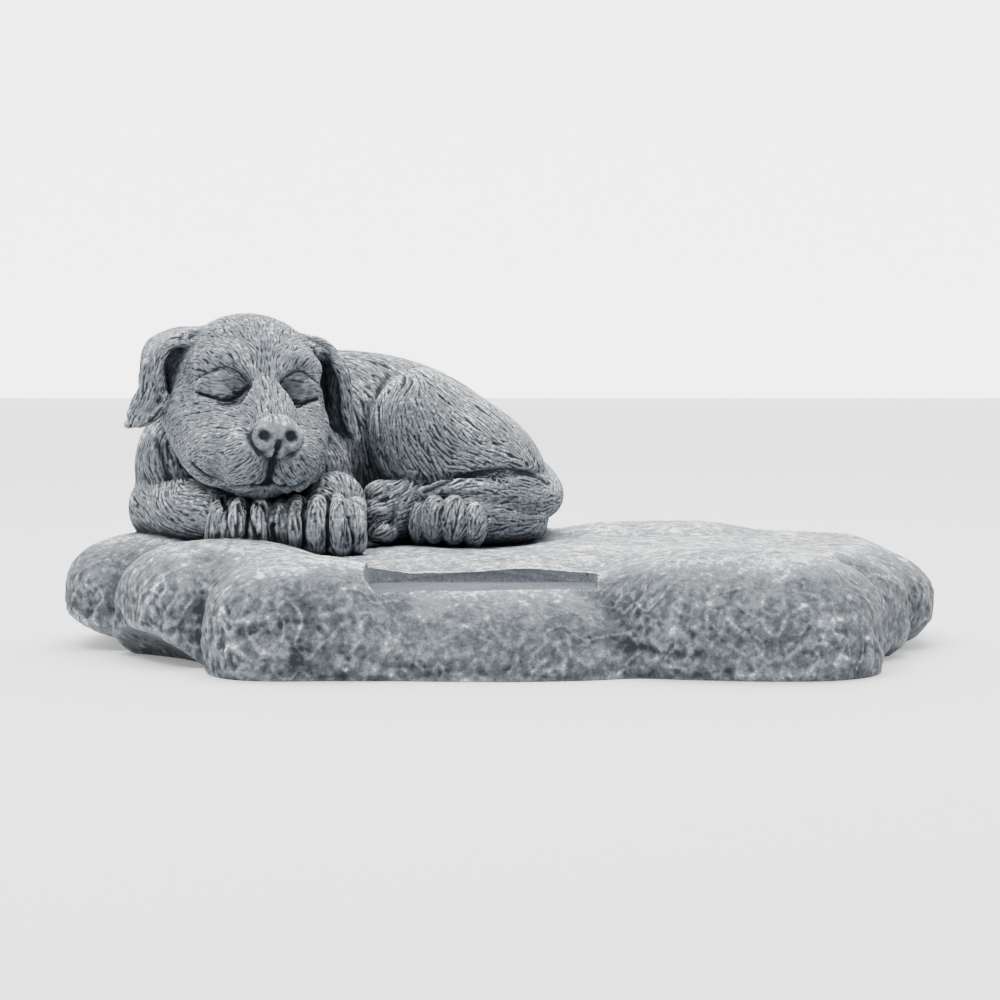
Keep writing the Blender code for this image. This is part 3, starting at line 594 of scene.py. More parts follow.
def cutRecess(thing):
    # the shallow pocket in the front of the stone, with a flat floor
    cutter = bpy.data.curves.new("recessCutter", "CURVE")
    cutter.dimensions = "2D"
    cutter.fill_mode = "BOTH"
    rise = 0.0150  # well above the rim
    cutter.extrude = rise / 2
    line = cutter.splines.new("POLY")
    line.use_cyclic_u = True
    outline = []
    for corner in range(4):
        right, far = (1, 1, -1, -1)[corner], (-1, 1, 1, -1)[corner]
        centreX = right * (recess["length"] / 2 - recess["corner"])
        centreY = far * (recess["depth"] / 2 - recess["corner"])
        for step in range(4):
            angle = math.radians(-90 + 90 * corner + 30 * step)
            x = centreX + recess["corner"] * math.cos(angle)
            outline.append((x, centreY + recess["corner"] * math.sin(angle)))
    line.points.add(len(outline) - 1)
    for point, (x, y) in zip(line.points, outline):
        point.co = (x, y, 0, 1)
    helper = bpy.data.objects.new("recessCutter", cutter)
    bpy.context.scene.collection.objects.link(helper)
    floor = stoneHeight - recess["drop"]
    helper.location = (recess["x"], recess["y"], floor + rise / 2)
    bpy.context.view_layer.update()
    graph = bpy.context.evaluated_depsgraph_get()
    mesh = bpy.data.meshes.new_from_object(helper.evaluated_get(graph))
    mesh.transform(helper.matrix_world)
    shape = bmesh.new()
    shape.from_mesh(mesh)
    bmesh.ops.remove_doubles(shape, verts=shape.verts, dist=1e-6)
    bpy.data.objects.remove(helper)
    solid = objectOf("recessCutter", shape)
    cut = thing.modifiers.new("Recess", "BOOLEAN")
    cut.operation = "DIFFERENCE"
    cut.object = solid
    applied(thing)
    bpy.data.objects.remove(solid)


# Fur: hair locks laid along the way the hair grows. Sizes in metres.

# cover is how many times over the locks cover the skin, and near how many are tried at each point
fur = {
    "bodyLength": 0.0072, "bodyWidth": 0.00098, "bodyHeight": 0.00060,
    "headLength": 0.0036, "headWidth": 0.00062, "headHeight": 0.00028,
    "cover": 1.9, "wander": 0.15, "stretch": (0.7, 1.35), "lift": (-0.22, 0.12),
    "near": 18, "seed": 11,
}

# where the hair grows which way: a point, then a direction, both in dog units
bodyHair = [
    ((-50, -10, 40), (-0.3, 0.2, -1)), ((-56, 0, 30), (-0.2, 0.1, -1)), ((-48, -16, 20), (0.2, -0.4, -1)),
    ((-50, -10, 10), (0.7, -0.5, -0.3)), ((-40, -25, 12), (0.9, -0.4, -0.1)),
    ((-33, -30, 8), (0.9, -0.5, -0.2)), ((-30, -42, 12), (0.1, -0.4, -1)),
    ((-20, -42, 12), (0, -0.4, -1)), ((-8, -42, 12), (0, -0.4, -1)), ((3, -42, 12), (0.1, -0.4, -1)),
    ((-4, -20, 20), (0.2, -1, -0.3)), ((-6, -10, 30), (0.4, -0.6, -0.8)), ((0, 6, 52), (0.7, -0.5, -0.4)),
    ((-20, 26, 58), (1, 0, 0)), ((-2, 30, 56), (1, 0, -0.1)), ((2, 0, 36), (0.3, -0.4, -1)),
    ((4, -4, 26), (0.2, -0.4, -1)), ((18, 4, 50), (0.5, -0.5, -0.3)), ((15, -8, 42), (-0.25, -0.1, -1)),
    ((13, -10, 30), (0.15, -0.2, -1)), ((22, -12, 36), (0.35, -0.2, -0.9)),
    ((30, -12, 34), (0.7, -0.2, -0.6)), ((24, -14, 24), (0.5, -0.2, -0.8)),
    ((34, -12, 24), (0.95, -0.1, -0.2)), ((34, 0, 42), (0.9, 0, -0.5)), ((44, 10, 32), (0.9, 0.2, -0.55)),
    ((46, -8, 24), (1, 0.2, -0.1)), ((56, 14, 22), (0.6, 0.5, -0.6)), ((40, 34, 36), (0.95, 0, -0.5)),
    ((10, 44, 46), (1, 0.1, -0.3)), ((-30, 46, 44), (0.9, 0.3, -0.4)), ((-50, 30, 40), (0.3, 0.8, -0.6)),
    ((-10, 56, 20), (0.8, 0.1, -0.7)), ((30, 50, 20), (0.9, 0, -0.6)), ((62, 22, 8), (-0.2, -1, 0)),
    ((58, 6, 12), (-0.6, -0.9, 0)), ((50, -4, 14), (-0.95, -0.5, 0.1)), ((40, -14, 16), (-1, -0.3, 0.1)),
    ((28, -18, 17), (-1, -0.1, 0)), ((26, -20, 8), (-0.2, -0.5, -1)), ((34, -22, 8), (-0.1, -0.5, -1)),
    ((44, -14, 6), (-1, -0.4, 0)), ((12, -14, 14), (-0.9, -0.5, -0.2)), ((8, -14, 6), (-0.9, -0.5, -0.3)),
]
headHair = [
    ((0, -38, -3), (0, 0.7, 0.7)), ((0, -28, 5), (0, 0.8, 0.5)), ((0, -20, 10), (0, 0.3, 1)),
    ((0, -14, 18), (0, 0.6, 0.8)), ((0, -4, 23), (0, 1, 0.2)), ((6, -18, 14), (0.5, 0.2, 0.8)),
    ((12, -16, 12), (0.8, 0.3, 0.5)), ((17, -10, 12), (0.7, 0.6, 0)), ((9, -12, 20), (0.5, 0.7, 0.6)),
    ((16, 0, 16), (0.7, 0.7, 0)), ((11, -20, 4), (1, 0.3, 0)), ((18, -12, 0), (0.6, 0.8, -0.2)),
    ((8, -26, -2), (0.8, 0.6, 0.2)), ((14, -18, -6), (0.8, 0.6, -0.2)), ((20, -8, -8), (0.4, 0.8, -0.5)),
    ((6, -36, -16), (0.7, 0.3, -0.6)), ((12, -30, -14), (0.8, 0.6, -0.2)),
    ((10, -30, -22), (0.8, 0.6, -0.1)), ((17, -18, -18), (0.6, 0.7, -0.3)),
    ((20, -4, -16), (0.2, 0.6, -0.8)), ((8, -24, -27), (0.6, 0.6, -0.4)), ((21, 6, 0), (0.2, 0.7, -0.6)),
    ((14, 14, 16), (0.3, 0.9, -0.2)), ((0, 20, 12), (0, 0.7, -0.7)),
]
earHair = [
    ((16, 2, 18), (1, 0.2, -0.2)), ((23, 3, 15), (0.8, 0, -0.6)), ((28, 3, 8), (0.2, 0, -1)),
    ((28, 2, 0), (0.1, -0.1, -1)), ((30, 0, -6), (0.5, -0.2, -0.9)),
]


def hairGuides():
    # places and directions of the hair, in metres
    turn = headTurn.to_matrix()
    rows = [(onDog(*place), Vector(way), 14 * dogUnit) for place, way in bodyHair]
    for table, spread in ((headHair, 5), (earHair, 4)):
        for (x, y, z), (a, b, c) in table:
            for side in (-1, 1):
                rows.append((onHead(side * x, y, z), turn @ Vector((side * a, b, c)), spread * dogUnit))
    places = np.array([tuple(row[0]) for row in rows])
    ways = np.array([tuple(row[1].normalized()) for row in rows])
    return places, ways, np.array([row[2] for row in rows])


def hairWays(points, normals):
    # the way the hair grows at each point, along the surface
    places, ways, spreads = hairGuides()
    total = np.zeros_like(points)
    for place, way, spread in zip(places, ways, spreads):
        gap = np.sum((points - place) ** 2, axis=1)
        total += (1 / (gap + (0.25 * spread) ** 2) ** 2)[:, None] * way * spread
    total -= np.sum(total * normals, axis=1)[:, None] * normals
    return total / (np.linalg.norm(total, axis=1)[:, None] + 1e-12)


class Fur:
    # the roots of the hair locks, shared by all the pieces of the dog

    def __init__(self, points, normals, areas, furry, onTheHead):
        random = np.random.default_rng(fur["seed"])
        lengths, widths = lockSizes(onTheHead)
        chance = fur["cover"] * areas / (lengths * widths) * (furry > 0.05)
        picked = np.nonzero(random.random(len(points)) < chance)[0]
        self.roots = points[picked]
        self.outs = normals[picked]
        ways = hairWays(self.roots, self.outs)
        ways += random.normal(0, fur["wander"], (len(picked), 1)) * np.cross(self.outs, ways)
        self.ways = ways / np.linalg.norm(ways, axis=1)[:, None]
        self.stretch = random.uniform(*fur["stretch"], len(picked))
        self.lift = random.uniform(*fur["lift"], len(picked))
        self.tree = KDTree(len(picked))
        for i, root in enumerate(self.roots):
            self.tree.insert(root, i)
        self.tree.balance()

    def heights(self, points, normals, furry, onTheHead):
        # the height of the hair, from 0 in the cuts between the locks to 1 on a lock
        lengths, widths = lockSizes(onTheHead)
        wanted = np.nonzero(furry > 0.03)[0]
        best = np.full(len(points), -1.0)
        if not len(wanted):
            return best
        find = self.tree.find_n
        found = np.array([[hit[1] for hit in find(point, fur["near"])] for point in points[wanted]])
        top = np.full(len(wanted), -9.0)
        for lock in found.T:
            gap = points[wanted] - self.roots[lock]
            way = self.ways[lock]
            along = np.sum(gap * way, axis=1)
            across = np.sum(gap * np.cross(normals[wanted], way), axis=1)
            along = along / (lengths[wanted] * 0.5 * self.stretch[lock])
            across = across / (widths[wanted] * 0.6)
            height = 1 - np.abs(across) ** 1.4 - 0.45 * np.abs(along) ** 3 + 0.1 * along + self.lift[lock]
            top = np.maximum(top, height)
        best[wanted] = top
        return np.clip(best + 0.35, 0, 1.25) / 1.25


def lockSizes(onTheHead):
    length = fur["bodyLength"] + (fur["headLength"] - fur["bodyLength"]) * onTheHead
    width = fur["bodyWidth"] + (fur["headWidth"] - fur["bodyWidth"]) * onTheHead
    return length, width


# Cuts of the carver's knife: the line in head or dog units, its half width and depth in metres,
# and how dark the painted shade in its cut is

headCuts = [
    # the slits of the closed eyes, and the folds above them
    ([(-6.4, -21, 2.2), (-8.4, -21, 0.9), (-11.4, -20, 0.2), (-17.4, -15, 1.4)], 0.00036, 0.0005, 0.8),
    ([(6.4, -21, 2.2), (8.4, -21, 0.9), (11.4, -20, 0.2), (17.0, -15, 1.2)], 0.00036, 0.0005, 0.8),
    ([(-5.0, -20, 6.4), (-7.4, -20, 8.3), (-12, -18.5, 8.9), (-17, -14, 4.6)], 0.00040, 0.0002, 0.25),
    ([(5.0, -20, 6.4), (7.4, -20, 8.3), (12, -18.5, 8.9), (17, -14, 4.6)], 0.00040, 0.0002, 0.25),
    # the mouth
    ([
        (-19.2, -21.6, -18.2), (-17.1, -24.3, -20.1), (-13.6, -25.9, -22), (-10.2, -30.2, -23.1),
        (-6.3, -34.3, -22.8), (-0.5, -30, -22.5), (2, -30.3, -21.8), (5, -32.3, -22.5),
        (7.6, -34.6, -22.5), (10.2, -35.5, -20.9),
    ], 0.00065, 0.0018, 1.2),
    # the hollow of the ear at the right, the split under the nose, and the nostrils
    ([(21.5, -6, 13), (24, -3.5, 7), (25, -3.5, 1), (26, -3.5, -5), (28.5, -3.2, -9)], 0.0016, 0.0011, 0.9),
    ([
        (0.2, -40.0, -10.5), (0.7, -35.3, -14.3), (1.4, -31.9, -18), (1.7, -30.2, -21.5),
    ], 0.00055, 0.0010, 1.0),
    ([(-4.0, -41.3, -7.2), (-3.4, -41.3, -7.6)], 0.00105, 0.0018, 1.3),
    ([(3.9, -41.6, -7.1), (4.5, -41.6, -7.5)], 0.00105, 0.0018, 1.3),
]
toeGaps = [
    [(-33.5, -34.7, 15.9), (-31.7, -42.6, 11.9), (-30.6, -46.3, 7.1), (-30, -46.6, 3)],
    [(-27, -41.4, 15.4), (-25.3, -42.8, 11.6), (-23.6, -46.9, 7.1), (-22.9, -47, 3)],
    [(-21.6, -43.5, 14.5), (-19.8, -45.2, 10.9), (-18.5, -44.7, 6.4), (-17.8, -45, 3)],
    [(-10.9, -33.5, 15.5), (-10.1, -42.9, 11.9), (-9.8, -44.5, 7), (-9.6, -44.2, 2.4)],
    [(-5, -39, 15.9), (-3.8, -40.5, 12.3), (-2.8, -44.6, 7.5), (-2.5, -45.5, 2.8)],
    [(1, -41.4, 15.2), (2.2, -43.6, 11.9), (3.1, -44.3, 7.5), (3.3, -43.4, 3.5)],
]
dogCuts = [
    *[(line, 0.0005, 0.0013, 1.0) for line in toeGaps],
    # between neck and shoulder, between flank and thigh, and where the tail lies on the thigh
    ([(-54.3, -11.4, 30.6), (-52.3, -13.8, 25.5), (-50.8, -15.1, 19.8)], 0.0009, 0.0006, 0.35),
    ([
        (11.9, 15, 48.3), (9.1, 10.4, 43.7), (7.9, 1.6, 38.1), (8.3, -2.3, 31.3), (10.7, -4.4, 25),
        (14.9, -8.8, 19.4),
    ], 0.0009, 0.0004, 0.25),
    ([
        (23.2, -18.5, 16), (27.8, -17.9, 18), (33.5, -13.3, 19.7), (40.7, -12, 21.4), (47.9, -8.2, 21.7),
        (55.2, 1.8, 19.4), (59.1, 8.4, 16.7),
    ], 0.0008, 0.0008, 0.5),
]


def cutLines(clay):
    # every cut as a row of points on the clay
    lines = []
    for table, place in ((headCuts, onHead), (dogCuts, onDog)):
        for points, width, depth, dark in table:
            path = smoothPath([place(*p) for p in points], 6 * len(points))
            lines.append((np.array([clay.settled(p)[0] for p in path]), width, depth, dark))
    return lines


def cutDepths(points, lines):
    # how deep the knife went at each point, and how dark the painted shade in its cut is
    depths = np.zeros(len(points))
    darks = np.zeros(len(points))
    for path, width, depth, dark in lines:
        low, high = path.min(axis=0) - 4 * width, path.max(axis=0) + 4 * width
        near = np.nonzero(np.all((points > low) & (points < high), axis=1))[0]
        gaps = np.full(len(near), 1.0)
        for a, b in zip(path[:-1], path[1:]):
            along = b - a
            share = np.clip((points[near] - a) @ along / (along @ along + 1e-12), 0, 1)
            gaps = np.minimum(gaps, np.sum((points[near] - a - share[:, None] * along) ** 2, axis=1))
        depths[near] = np.maximum(depths[near], depth * np.exp(-gaps / width**2))
        darks[near] = np.maximum(darks[near], dark * np.exp(-gaps / (1.25 * width) ** 2))
    return depths, darks


# The grain of the stone. Heights and sizes in metres.

stoneGrain = {
    "lumps": 0.0011, "web": 0.00045, "grit": 0.00026, "pits": 0.0004, "layers": 0.00035, "bend": 0.003,
    "lumpSizes": (0.0130, 0.0055), "webSizes": (0.0100, 0.0048), "gritSizes": (0.0024, 0.0012),
    "pitSize": 0.0026, "layerSize": 0.0046, "bendSize": 0.012, "cloudSize": 0.024,
    "tone": 0.34, "cloudTone": 0.05, "paintedTopLight": 0.24, "seed": 21,
}


def lumps(points, size, seed):
    # smooth random values between -1 and 1 that change over about this size
    random = np.random.default_rng(seed)
    table = random.uniform(-1, 1, 4096).astype(np.float32)
    slant = np.array(Euler((0.7, 0.5, 0.9)).to_matrix())
    at = points @ slant / size + 1000
    cell = np.floor(at).astype(np.int64)
    t = at - cell
    t = t * t * (3 - 2 * t)
    total = np.zeros(len(points))
    for corner in np.ndindex(2, 2, 2):
        c = cell + np.array(corner)
        spot = (c[:, 0] * 73856093 ^ c[:, 1] * 19349663 ^ c[:, 2] * 83492791) & 4095
        share = np.prod([t[:, k] if corner[k] else 1 - t[:, k] for k in range(3)], axis=0)
        total += table[spot] * share
    return total


def webbed(points, size, seed):
    # thin ridges that wander and meet, from 0 between them to 1 on their crests
    return np.clip(1 - 5 * np.abs(lumps(points, size, seed)), 0, 1)


def stoneRelief(points, normals):
    # how far the stone's skin stands out of the plain form, and how light its paint is there, with painted
    # light on what faces up
    grain = stoneGrain
    seed = grain["seed"]
    upright = np.clip(1 - 1.3 * normals[:, 2] ** 2, 0, 1)
    wander = [lumps(points, grain["bendSize"], seed + 9 + k) for k in range(3)]
    bend = grain["bend"] * np.stack(wander, axis=1)
    large, small = grain["lumpSizes"]
    wide = 0.7 * lumps(points + bend, large, seed) + 0.3 * lumps(points, small, seed + 1)
    large, small = grain["webSizes"]
    web = 0.6 * webbed(points + bend, large, seed + 12) + 0.5 * webbed(points + bend, small, seed + 13)
    large, small = grain["gritSizes"]
    grit = 0.5 * lumps(points, large, seed + 2) + 0.5 * lumps(points, small, seed + 3)
    pits = 1.4 * np.clip(lumps(points, grain["pitSize"], seed + 4) - 0.36, 0, 1)
    flat = points * np.array([0.16, 0.16, 1.0]) + 0.5 * bend
    layers = 2 * np.abs(lumps(flat, grain["layerSize"], seed + 5)) - 0.5
    low = np.clip(1.6 - points[:, 2] / 0.012, 0, 1)
    relief = grain["lumps"] * wide + grain["web"] * web
    relief += grain["grit"] * grit - grain["pits"] * pits
    relief *= 0.35 + 0.65 * upright
    relief += grain["layers"] * layers * upright * (0.4 + 0.6 * low)
    tone = 0.20 * grit + 0.08 * wide + 0.17 * web - 0.12 * pits + 0.12 * layers * upright * low
    cloud = grain["cloudTone"] * lumps(points, grain["cloudSize"], seed + 6)
    tone = grain["tone"] + tone * (0.45 + 0.55 * upright) + cloud
    # painted light: the faces that look up are paler
    tone += grain["paintedTopLight"] * np.clip(5 * normals[:, 2] - 3.9, 0, 1)
    return relief, tone


# The casting: fur on the dog, grain on the stone


def sampled(field, first, points):
    # what a grid of numbers holds at these points
    at = points / gridStep - first
    cell = np.clip(np.floor(at).astype(int), 0, np.array(field.shape) - 2)
    t = np.clip(at - cell, 0, 1)
    total = np.zeros(len(points))
    for corner in np.ndindex(2, 2, 2):
        share = np.prod([t[:, k] if corner[k] else 1 - t[:, k] for k in range(3)], axis=0)
        total += field[cell[:, 0] + corner[0], cell[:, 1] + corner[1], cell[:, 2] + corner[2]] * share
    return total


def boxMean(field, reach):
    # the mean of the grid's numbers over a box of about this reach
    half = max(1, round(reach / gridStep))
    for axis in range(3):
        field = np.moveaxis(field, axis, 0)
        padded = np.pad(field, ((half + 1, half), (0, 0), (0, 0)), mode="edge")
        total = np.cumsum(padded, axis=0, dtype=np.float32)
        field = np.moveaxis((total[2 * half + 1 :] - total[: -2 * half - 1]) / (2 * half + 1), 0, axis)
    return field


def hollowGrids(clay):
    # how much solid lies round each place, near by and further off, with the recess taken out, for the
    # painted shade in the hollows
    solid = np.clip(0.5 - clay.field / gridStep, 0, 1)
    wide, deep = recess["length"] / 2, recess["depth"] / 2
    low = (recess["x"] - wide, recess["y"] - deep, stoneHeight - recess["drop"])
    high = (recess["x"] + wide, recess["y"] + deep, stoneHeight + 0.01)
    corners = [(np.array(c) / gridStep - clay.first).round().astype(int) for c in (low, high)]
    solid[tuple(slice(*pair) for pair in zip(*corners))] = 0
    return [boxMean(solid, reach) for reach in paintedLightShadeAndWear["reaches"]]


def meshArrays(mesh):
    points = np.empty(len(mesh.vertices) * 3, np.float32)
    normals = np.empty(len(mesh.vertices) * 3, np.float32)
    mesh.vertices.foreach_get("co", points)
    mesh.vertices.foreach_get("normal", normals)
    return points.reshape(-1, 3).astype(float), normals.reshape(-1, 3).astype(float)


def edgeEnds(mesh):
    rows = np.empty(len(mesh.edges) * 2, np.int32)
    mesh.edges.foreach_get("vertices", rows)
    return rows.reshape(-1, 2)


def neighbourMean(values, rows, count):
    total = np.zeros_like(values)
    for a, b in ((0, 1), (1, 0)):
        for axis in range(values.shape[1]):
            shares = values[rows[:, b], axis]
            total[:, axis] += np.bincount(rows[:, a], weights=shares, minlength=len(values))
    return total / count[:, None]


def setMarks(mesh, marks):
    # numbers that the paint reads from the mesh
    for name, values in marks.items():
        layer = mesh.attributes.get(name) or mesh.attributes.new(name, "FLOAT", "POINT")
        layer.data.foreach_set("value", values.astype(np.float32))


# spots of bare skin: the middle in head units, the half sizes across and up, and how bare
bareSpots = [
    ((1, -39, -8.6), 7.0, 5.6, 1.0),
    ((-10.9, -18.0, 3.4), 6.2, 3.4, 0.5),
    ((10.9, -18.0, 3.4), 6.2, 3.4, 0.5),
]


def bareSkin(points):
    # 1 on the nose, where no hair is cut, and less on the lids
    bare = np.zeros(len(points))
    for place, wide, tall, most in bareSpots:
        x, y, z = (points - np.array(onHead(*place))).T
        size = np.sqrt((x / wide) ** 2 + (y / wide) ** 2 + (z / tall) ** 2) / dogUnit
        bare = np.maximum(bare, most * np.clip(2.2 - 1.6 * size, 0, 1))
    return bare


def finer(thing, levels):
    # cuts every face into four, so that single locks can be carved
    if levels:
        split = thing.modifiers.new("Finer", "SUBSURF")
        split.subdivision_type = "SIMPLE"
        split.levels = levels
        split.render_levels = levels
        applied(thing)
    return thing


def thinOut(thing, triangles):
    skin = thing.modifiers.new("Triangles", "TRIANGULATE")
    skin.min_vertices = 4
    applied(thing)
    fewer = thing.modifiers.new("Fewer", "DECIMATE")
    fewer.ratio = min(1, triangles / len(thing.data.polygons))
    applied(thing)


def flatUnderside(thing):
    # cuts the casting off flat at the ground
    shape = bmesh.new()
    shape.from_mesh(thing.data)
    everything = [*shape.verts, *shape.edges, *shape.faces]
    bmesh.ops.bisect_plane(shape, geom=everything, plane_co=(0, 0, 0), plane_no=(0, 0, 1), clear_inner=True)
    rim = [edge for edge in shape.edges if edge.is_boundary]
    bmesh.ops.holes_fill(shape, edges=rim)
    bmesh.ops.triangulate(shape, faces=shape.faces)
    bmesh.ops.recalc_face_normals(shape, faces=shape.faces)
    shape.to_mesh(thing.data)
    shape.free()


# each piece of the casting: how often its faces are cut finer, and its triangles
pieces = {
    "dogHead": {"finer": 2, "triangles": 195000},
    "dogForequarters": {"finer": 1, "triangles": 180000},
    "dogHindquarters": {"finer": 1, "triangles": 180000},
    "stone": {"finer": 0, "triangles": 170000},
}
overlap = 0.0004  # how far neighbouring pieces share their skin
castingShift = (0.0001, -0.0005, 0)  # puts the middle of the outline over the origin, as in the CAD


def cutsFiner(name):
    return pieces[name]["finer"]


def sculpt():
    # the whole figure in one block of clay, and beside it what each piece owns
    clay = wholeBlock()
    own = {name: np.full(clay.count, 1.0, np.float32) for name in pieces}
    u = dogUnit

    def add(name, block, ease):
        clay.join(block, ease)
        share = wholeBlock()
        share.join(block, 0)
        np.minimum(own[name], share.field, out=own[name])

    add("dogForequarters", torso(), 0)
    add("dogHindquarters", haunch(), 1.2 * u)
    add("dogHindquarters", hindPaws(), 1.0 * u)
    add("dogHindquarters", tail(), 0.9 * u)
    add("dogForequarters", frontLegs(), 1.6 * u)
    add("dogForequarters", frontToes(), 1.2 * u)
    add("dogHead", head(), 0.9 * u)
    add("dogHead", ears(), 1.0 * u)
    dogCreases(clay)
    add("stone", stone(), 0.9 * u)
    return clay, own


def carved(name, clay, own):
    # one piece of the clay as a mesh, closed where it meets its neighbours
    others = np.minimum.reduce([own[other] for other in own if other != name])
    block = wholeBlock()
    block.field = np.maximum(clay.field, own[name] - others - overlap)
    return finer(block.surface(name), cutsFiner(name))


def surroundings(points, clay, own):
    # on the outer skin or not, stone or dog, head or body, hairy or bare
    def lead(one, other):
        # below 0 where the first is nearer, above 0 where the second is
        return sampled(np.clip(one, -1, 0.02) - np.clip(other, -1, 0.02), clay.first, points)

    outer = np.clip(1 + sampled(clay.field, clay.first, points) / 0.0008, 0, 1)
    dog = np.minimum.reduce([own[name] for name in own if name != "stone"])
    furry = np.clip(lead(own["stone"], dog) / 0.0012 + 0.5, 0, 1) * outer
    onTheHead = np.clip(0.5 - lead(own["dogHead"], own["dogForequarters"]) / 0.004, 0, 1)
    return outer, furry, onTheHead


# the carved skin: lengths in metres, and shares of the paint's tone; rootTone and lockTone make the hair
# dark between its locks, partly as painted shade
carving = {
    "lockMiddle": 0.62, "rough": 0.00008, "roughSize": 0.0016, "groundFade": 0.002,
    "bareTone": 0.45, "bareMottle": 0.10, "mottleSize": 0.0012,
    "rootTone": 0.06, "lockTone": 0.49, "cutTone": 0.75,
}


def carve(name, thing, marks, hair, lines):
    # moves the skin by the hair, the grain of the stone and the cuts, and marks how light it is
    points, normals, _, furry, onTheHead, outer = marks
    locks = hair.heights(points, normals, furry, onTheHead)
    tall = fur["bodyHeight"] + (fur["headHeight"] - fur["bodyHeight"]) * onTheHead
    relief, grainTone = stoneRelief(points, normals)
    depths, darks = cutDepths(points, lines)
    stony = 1 - np.clip(furry + bareSkin(points), 0, 1)
    if name != "stone":
        stony = np.where(onTheHead > 0.5, 0, stony)
    lift = furry * tall * (locks - carving["lockMiddle"]) + stony * relief * outer - depths * outer
    lift += (1 - stony) * outer * carving["rough"] * lumps(points, carving["roughSize"], 31)
    lift *= np.clip(points[:, 2] / carving["groundFade"], 0, 1)
    moved = (points + normals * lift[:, None]).astype(np.float32)
    thing.data.vertices.foreach_set("co", moved.ravel())
    thing.data.update()
    bareTone = carving["bareTone"] + carving["bareMottle"] * lumps(points, carving["mottleSize"], 33)
    # the hair darker in the cuts between its locks and paler on them: partly dark wash, partly painted
    # shade
    furTone = carving["rootTone"] + carving["lockTone"] * locks
    tone = stony * grainTone + (1 - stony) * (furry * furTone + (1 - furry) * bareTone)
    # the cuts are darkened with painted shade
    setMarks(thing.data, {"toneMark": tone - carving["cutTone"] * darks, "stoneMark": stony})


def memorialStatue():
    clay, own = sculpt()
    report("clay modelled")
    things = {name: carved(name, clay, own) for name in pieces}
    report("pieces parted")
    lines = cutLines(clay)
    grids = hollowGrids(clay)
    data = {}
    for name, thing in things.items():
        points, normals = meshArrays(thing.data)
        outer, furry, onTheHead = surroundings(points, clay, own)
        furry *= 1 - bareSkin(points)
        areas = np.full(len(points), (gridStep / 2 ** cutsFiner(name)) ** 2)
        data[name] = [points, normals, areas, furry, onTheHead, outer]
    dogRows = [rows for name, rows in data.items() if name != "stone"]
    hair = Fur(*[np.concatenate([rows[k] for rows in dogRows]) for k in range(5)])
    report(f"{len(hair.roots)} hair locks laid")
    material = resinWithPaintedLightAndShade()
    for name, thing in things.items():
        carve(name, thing, data[name], hair, lines)
        thinOut(thing, pieces[name]["triangles"] // (1))
        if name == "stone":
            cutRecess(thing)
            flatUnderside(thing)
        thing.data.transform(Matrix.Translation(castingShift))
        paintLightShadeAndWear(thing, grids, clay)
        thing.data.materials.clear()
        thing.data.materials.append(material)
        thing.data.shade_smooth()
        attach(thing, "root")
        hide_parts("memorial_statue")
        report(f"{name} carved, {len(thing.data.polygons)} triangles")


# how much each thing changes the tone: ridge is partly pale dry-brushed paint and partly a painted
# highlight, near and far are painted shade in the hollows, sky is painted light on what faces up; and how
# far the near and far hollows reach, in metres
paintedLightShadeAndWear = {
    "ridge": 0.26, "near": 0.95, "far": 0.75, "sky": 0.20, "floor": 0.46, "reaches": (0.0016, 0.0045),
}


def paintLightShadeAndWear(thing, grids, clay):
    # painted shade, partly the dark wash of the paint, stays in the hollows; what faces up is made paler as
    # painted light; the ridges are rubbed pale, partly as a painted highlight
    mesh = thing.data
    points, normals = meshArrays(mesh)
    rows = edgeEnds(mesh)
    count = np.maximum(np.bincount(rows.ravel(), minlength=len(points)), 1)
    reach = np.linalg.norm(points[rows[:, 0]] - points[rows[:, 1]], axis=1)
    size = np.maximum(np.bincount(rows[:, 0], weights=reach, minlength=len(points)) / count, 1e-5)
    bulge = np.sum((points - neighbourMean(points, rows, count)) * normals, axis=1)
    ridge = bulge[:, None] / (0.25 * size[:, None])
    ridge = 0.5 * ridge + 0.5 * neighbourMean(ridge, rows, count)
    outside = points + normals * 0.0003 - np.array(castingShift)
    near, far = [np.clip((sampled(grid, clay.first, outside) - 0.5) * 2, -1, 1) for grid in grids]
    tone = np.empty(len(points), np.float32)
    mesh.attributes["toneMark"].data.foreach_get("value", tone)
    # the ridges paler: partly pale dry-brushed paint, partly a painted highlight
    tone = tone + paintedLightShadeAndWear["ridge"] * np.clip(ridge[:, 0], -1, 1)
    # painted light: what faces up is paler
    tone = tone + paintedLightShadeAndWear["sky"] * np.clip(normals[:, 2], -0.5, 1)
    # painted shade: the tone is darker where much solid lies round, near by and further off
    tone -= paintedLightShadeAndWear["near"] * np.clip(near, 0, 1) + paintedLightShadeAndWear["far"] * np.clip(far, 0, 1)
    # the cut floor of the recess has few points, so its paint is even
    gaps = np.abs(points - (recess["x"], recess["y"], stoneHeight - recess["drop"]))
    within = (recess["length"] / 2 + 0.001, recess["depth"] / 2 + 0.001, 0.00002)
    tone[np.all(gaps < within, axis=1)] = paintedLightShadeAndWear["floor"]
    setMarks(mesh, {"toneMark": tone})


# Materials


class Wire:
    # a socket that can be used in sums
    def __init__(self, tree, socket):
        self.tree = tree
        self.socket = socket

    def math(self, operation, a, b):
        return addNode(self.tree, "ShaderNodeMath", {"operation": operation}, {0: a, 1: b})

    def __add__(self, other):
        return self.math("ADD", self, other)

    def __mul__(self, other):
        return self.math("MULTIPLY", self, other)

    __rmul__ = __mul__

    def __sub__(self, other):
        return self.math("SUBTRACT", self, other)

    def __rsub__(self, other):
        return self.math("SUBTRACT", other, self)

    def clipped(self):
        return addNode(self.tree, "ShaderNodeClamp", {}, {"Value": self})


